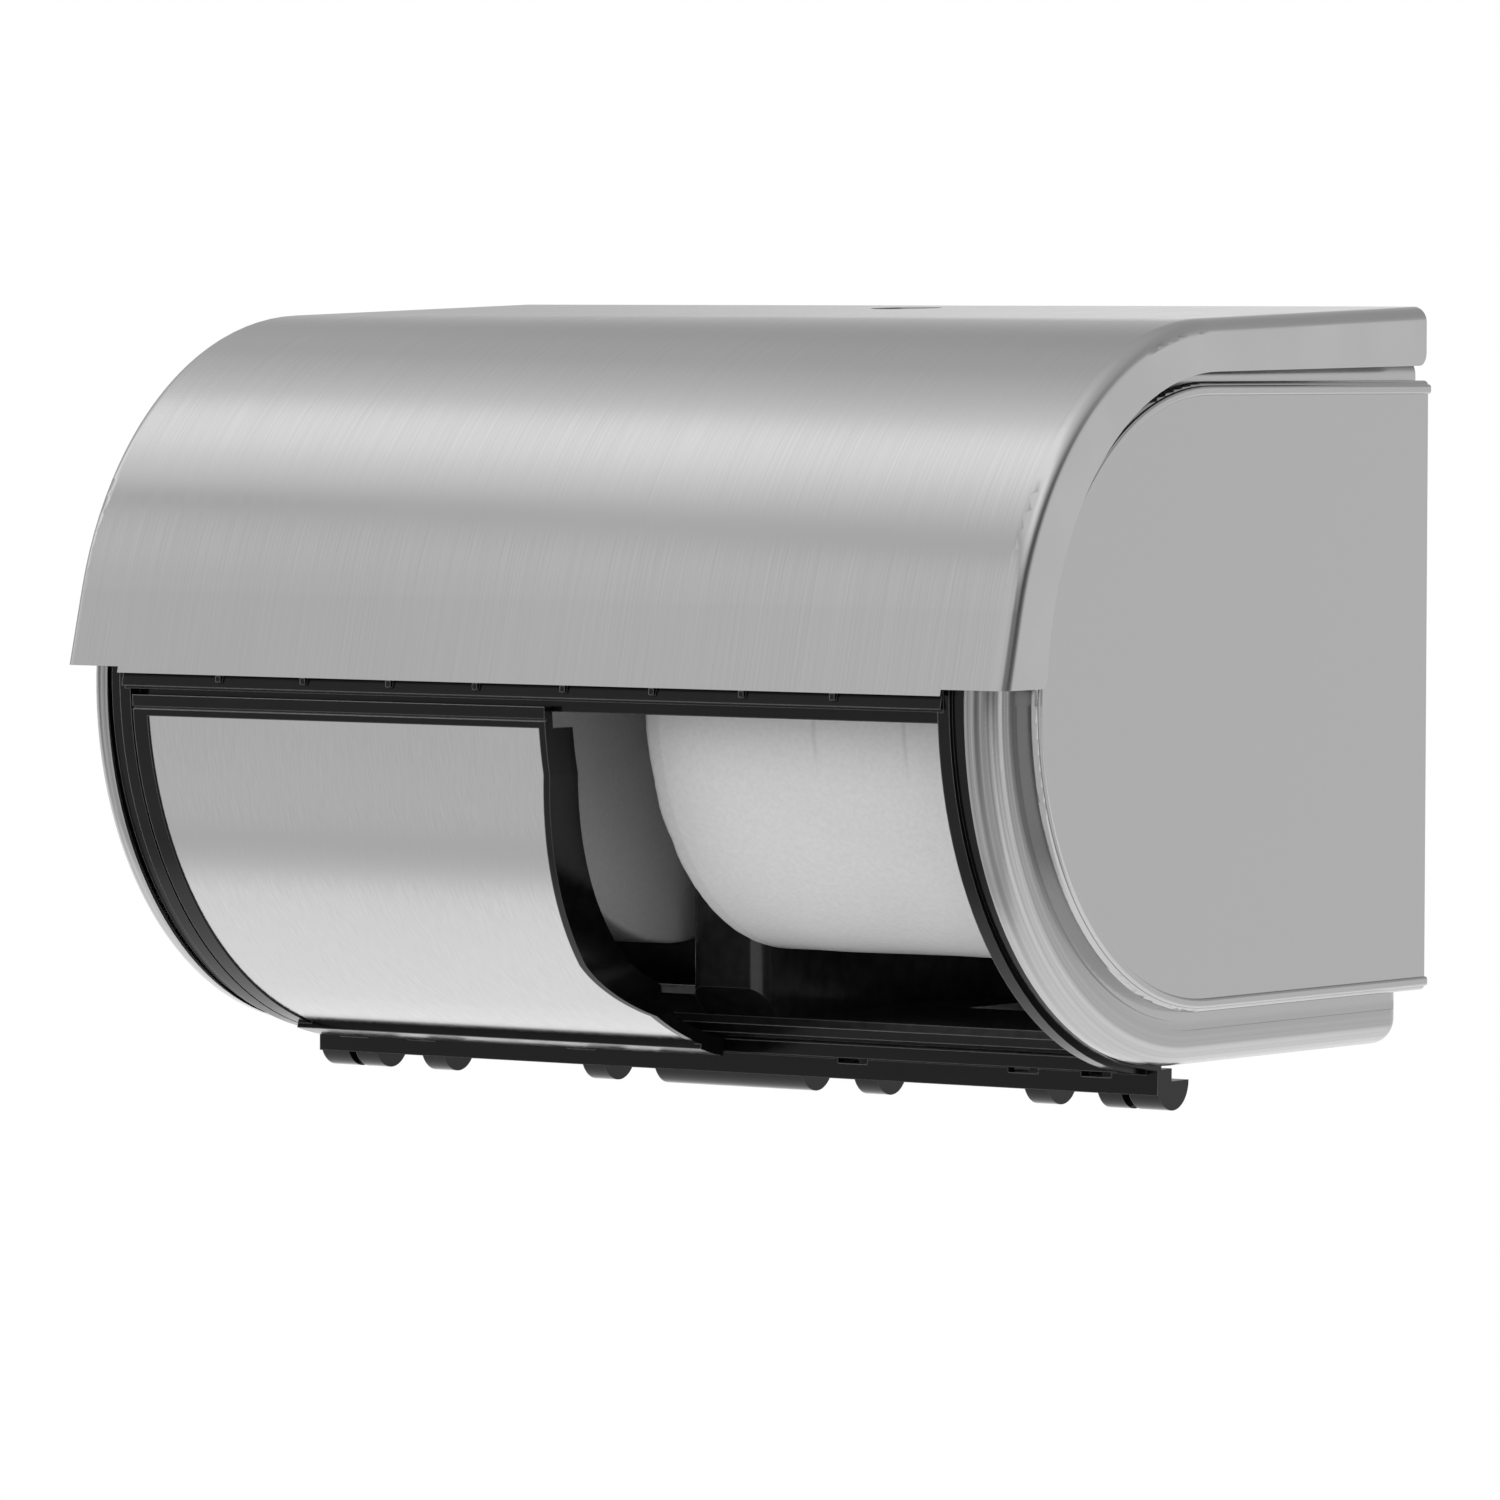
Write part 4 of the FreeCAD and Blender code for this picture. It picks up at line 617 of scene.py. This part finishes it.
def plain_roll(name, start, end):
    """A closed, even roll between two places along X."""
    bpy.ops.object.select_all(action="DESELECT")
    bpy.ops.mesh.primitive_circle_add(vertices=ROLL_SPOKES, radius=ROLL_BORE, location=ROLL_AXIS,
                                      rotation=(0.0, math.radians(90.0), 0.0))
    roll = bpy.context.object
    roll.name = name
    bpy.ops.transform.translate(value=(start, 0.0, 0.0))
    bpy.ops.object.transform_apply(location=True, rotation=True, scale=True)
    bpy.ops.object.mode_set(mode="EDIT")
    bpy.ops.mesh.select_all(action="SELECT")
    rings = ring_profile(start, end)
    for (radius_from, place_from), (radius_to, place_to) in zip(rings, rings[1:]):
        grow_ring(radius_from, radius_to, place_to - place_from)
    # The last step runs back through the bore and closes the roll on its first ring.
    grow_ring(ROLL_BORE, ROLL_BORE, start - end)
    bpy.ops.mesh.select_all(action="SELECT")
    bpy.ops.mesh.remove_doubles(threshold=MERGE_DISTANCE)
    bpy.ops.mesh.normals_make_consistent(inside=False)
    bpy.ops.object.mode_set(mode="OBJECT")
    return roll


print("rings of a roll", len(ring_profile(0.0, 1.0)))

# %% [markdown]
# The paper of a roll isn't even: its outer turns lie a little loose and its corners are frayed. The
# dents could be sculpted. Two displacements from soft noise, one outwards and one along the roll, give
# them and can be set in tenths of a millimetre. The hubs hold the middle of each end, so only the paper
# further out is loose.

# %% Tissue rolls
LOOSE_FROM = 18.0 * MM
LOOSE_PAPER = "loose_paper"
SAG = 0.6 * MM
SAG_SCALE = 35.0 * MM
RAGGED = 0.8 * MM
RAGGED_SCALE = 6.0 * MM
SMOOTH_ANGLE = math.radians(50.0)


def soft_noise(name, scale):
    """A cloud texture for a displacement."""
    texture = bpy.data.textures.new(name, "CLOUDS")
    texture.noise_scale = scale
    return texture


def loosen(roll, name, texture, strength, direction="NORMAL"):
    """Moves the loose paper by a texture and applies that."""
    modifier = roll.modifiers.new(name, "DISPLACE")
    modifier.texture = texture
    modifier.texture_coords = "GLOBAL"
    modifier.direction = direction
    modifier.strength = strength
    modifier.vertex_group = LOOSE_PAPER
    bpy.ops.object.modifier_apply(modifier=name)


def tissue_roll(name, start, end):
    """A roll with loose outer turns and ragged corners."""
    roll = plain_roll(name, start, end)
    loose = roll.vertex_groups.new(name=LOOSE_PAPER)
    for vertex in roll.data.vertices:
        if (vertex.co - ROLL_AXIS).yz.length > LOOSE_FROM:
            loose.add([vertex.index], 1.0, "REPLACE")
    loosen(roll, "sag", sag_noise, SAG)
    loosen(roll, "ragged", ragged_noise, RAGGED, direction="X")
    roll.vertex_groups.clear()
    bpy.ops.object.shade_smooth_by_angle(angle=SMOOTH_ANGLE)
    print(name, len(roll.data.polygons), "faces")
    return roll


sag_noise = soft_noise("sag", SAG_SCALE)
ragged_noise = soft_noise("ragged", RAGGED_SCALE)
rolls = {}
for side in ("left", "right"):
    low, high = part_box(side + "_roll")
    rolls[side] = tissue_roll(side + "_tissue", low.x, high.x)

# %% [markdown]
# Tissue is matt and white, with a fibrous grain too fine to model. The ends of a roll show its layers
# as rings, a pattern of the distance from the roll's axis. On the round side the last turns lie loose:
# two creases were pressed into each roll where it was packed, drawn as a bump with painted shade in the
# fold, and the outermost turn is bent up along its inner end; the bend isn't modelled, and a strip of
# painted shade stands for it. These marks could be cut into the mesh. In the material they stay as soft
# as paper, and both rolls share them.

# %% Tissue material
FIBRE_SCALE = 900.0
FIBRE_DETAIL = 4.0
TISSUE_DARK, TISSUE_LIGHT = 0.82, 0.88
RING_PITCH = 0.55 * MM
RING_SHADE = 0.012
RUMPLE_STRETCH = (220.0, 25.0, 25.0)
RUMPLE_DETAIL = 3.0
RUMPLE_DEPTH = 5.0
# The creases' distances from the dispenser's middle; they end a little below the axis.
CREASE_PLACES = (61.8 * MM, 85.8 * MM)
CREASE_WIDTH = 0.9 * MM
CREASE_DEPTH = 9.0
# How much painted shade darkens the colour in a crease's fold.
PAINTED_CREASE_SHADE = 0.012
CREASE_END = -18.0 * MM
CREASE_FADE = 12.0 * MM
STRIP_EDGE = 19.6 * MM
STRIP_SOFTNESS = 0.6 * MM
# How much painted shade darkens the strip along a roll's inner end.
PAINTED_STRIP_SHADE = 0.06
TISSUE_BUMP = 0.2
TISSUE_BUMP_DEPTH = 0.2 * MM
TISSUE_ROUGHNESS = 0.95
TISSUE_SPECULAR = 0.1


def end_rings(tree, place_y, place_z):
    """A wave of the distance from the roll's axis."""
    from_centre = link_math(tree, "ADD", place_y, AXIS_DEPTH)
    depth_part = link_math(tree, "MULTIPLY", from_centre, from_centre)
    height_part = link_math(tree, "MULTIPLY", place_z, place_z)
    layer_square = link_math(tree, "ADD", depth_part, height_part)
    layer = link_math(tree, "SQRT", layer_square)
    phase = link_math(tree, "MULTIPLY", layer, FULL_TURN / RING_PITCH)
    return link_math(tree, "SINE", phase)


def pressed_crease(tree, from_middle, place, fade):
    """A narrow fold round the roll at one distance from the dispenser's middle."""
    beside = link_math(tree, "SUBTRACT", from_middle, place)
    distance = link_math(tree, "ABSOLUTE", beside)
    slope = link_math(tree, "DIVIDE", distance, CREASE_WIDTH)
    rise = link_math(tree, "SUBTRACT", 1.0, slope)
    fold = link_math(tree, "MAXIMUM", rise, 0.0)
    return link_math(tree, "MULTIPLY", fold, fade)


tissue_paper, tissue_tree, tissue_shader = new_material("tissue_paper")
tissue_place, tissue_x, tissue_y, tissue_z = object_place(tissue_tree)
fibre = noise_of(tissue_tree, tissue_place, FIBRE_SCALE, FIBRE_DETAIL)
fibre_shade = spread_over(tissue_tree, fibre, TISSUE_DARK, TISSUE_LIGHT)
ring = end_rings(tissue_tree, tissue_y, tissue_z)
ring_shade = link_math(tissue_tree, "MULTIPLY", ring, RING_SHADE)
ringed = link_math(tissue_tree, "ADD", fibre_shade, ring_shade)
from_middle = link_math(tissue_tree, "ABSOLUTE", tissue_x)
# Painted shade: a darker strip along each roll's inner end stands for the outer turn bent up there.
painted_strip_shade = spread_over(tissue_tree, from_middle, PAINTED_STRIP_SHADE, 0.0,
                    start=STRIP_EDGE, end=STRIP_EDGE + STRIP_SOFTNESS)
tone = link_math(tissue_tree, "SUBTRACT", ringed, painted_strip_shade)

rumple_place = add_node(tissue_tree, "ShaderNodeVectorMath", operation="MULTIPLY")
rumple_place.inputs[1].default_value = RUMPLE_STRETCH
tissue_tree.links.new(tissue_place, rumple_place.inputs[0])
rumple = noise_of(tissue_tree, rumple_place.outputs[0], 1.0, RUMPLE_DETAIL)
rumple_relief = link_math(tissue_tree, "MULTIPLY", rumple, RUMPLE_DEPTH)
relief = link_math(tissue_tree, "ADD", fibre, rumple_relief)
crease_fade = spread_over(tissue_tree, tissue_z, 0.0, CREASE_DEPTH,
                          start=CREASE_END, end=CREASE_END + CREASE_FADE)
for crease_place in CREASE_PLACES:
    crease = pressed_crease(tissue_tree, from_middle, crease_place, crease_fade)
    relief = link_math(tissue_tree, "SUBTRACT", relief, crease)
    # Painted shade: the colour is darkened in the crease, where its fold lies in shade.
    painted_crease_shade = link_math(tissue_tree, "MULTIPLY", crease, PAINTED_CREASE_SHADE)
    tone = link_math(tissue_tree, "SUBTRACT", tone, painted_crease_shade)
tissue_tree.links.new(grey_of(tissue_tree, tone), tissue_shader.inputs["Base Color"])
link_bump(tissue_tree, tissue_shader, relief, TISSUE_BUMP, TISSUE_BUMP_DEPTH)
tissue_shader.inputs["Roughness"].default_value = TISSUE_ROUGHNESS
tissue_shader.inputs["Specular IOR Level"].default_value = TISSUE_SPECULAR
print(tissue_paper.name, "with", len(tissue_tree.nodes), "nodes")

# %% [markdown]
# Each new roll takes the place of the plain CAD roll and turns with it on its hubs.

# %% Put the rolls in place
for side, roll in rolls.items():
    roll.data.materials.append(tissue_paper)
    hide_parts(side + "_roll")
    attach(roll, side + "_tissue")
print("tissue on", list(rolls))
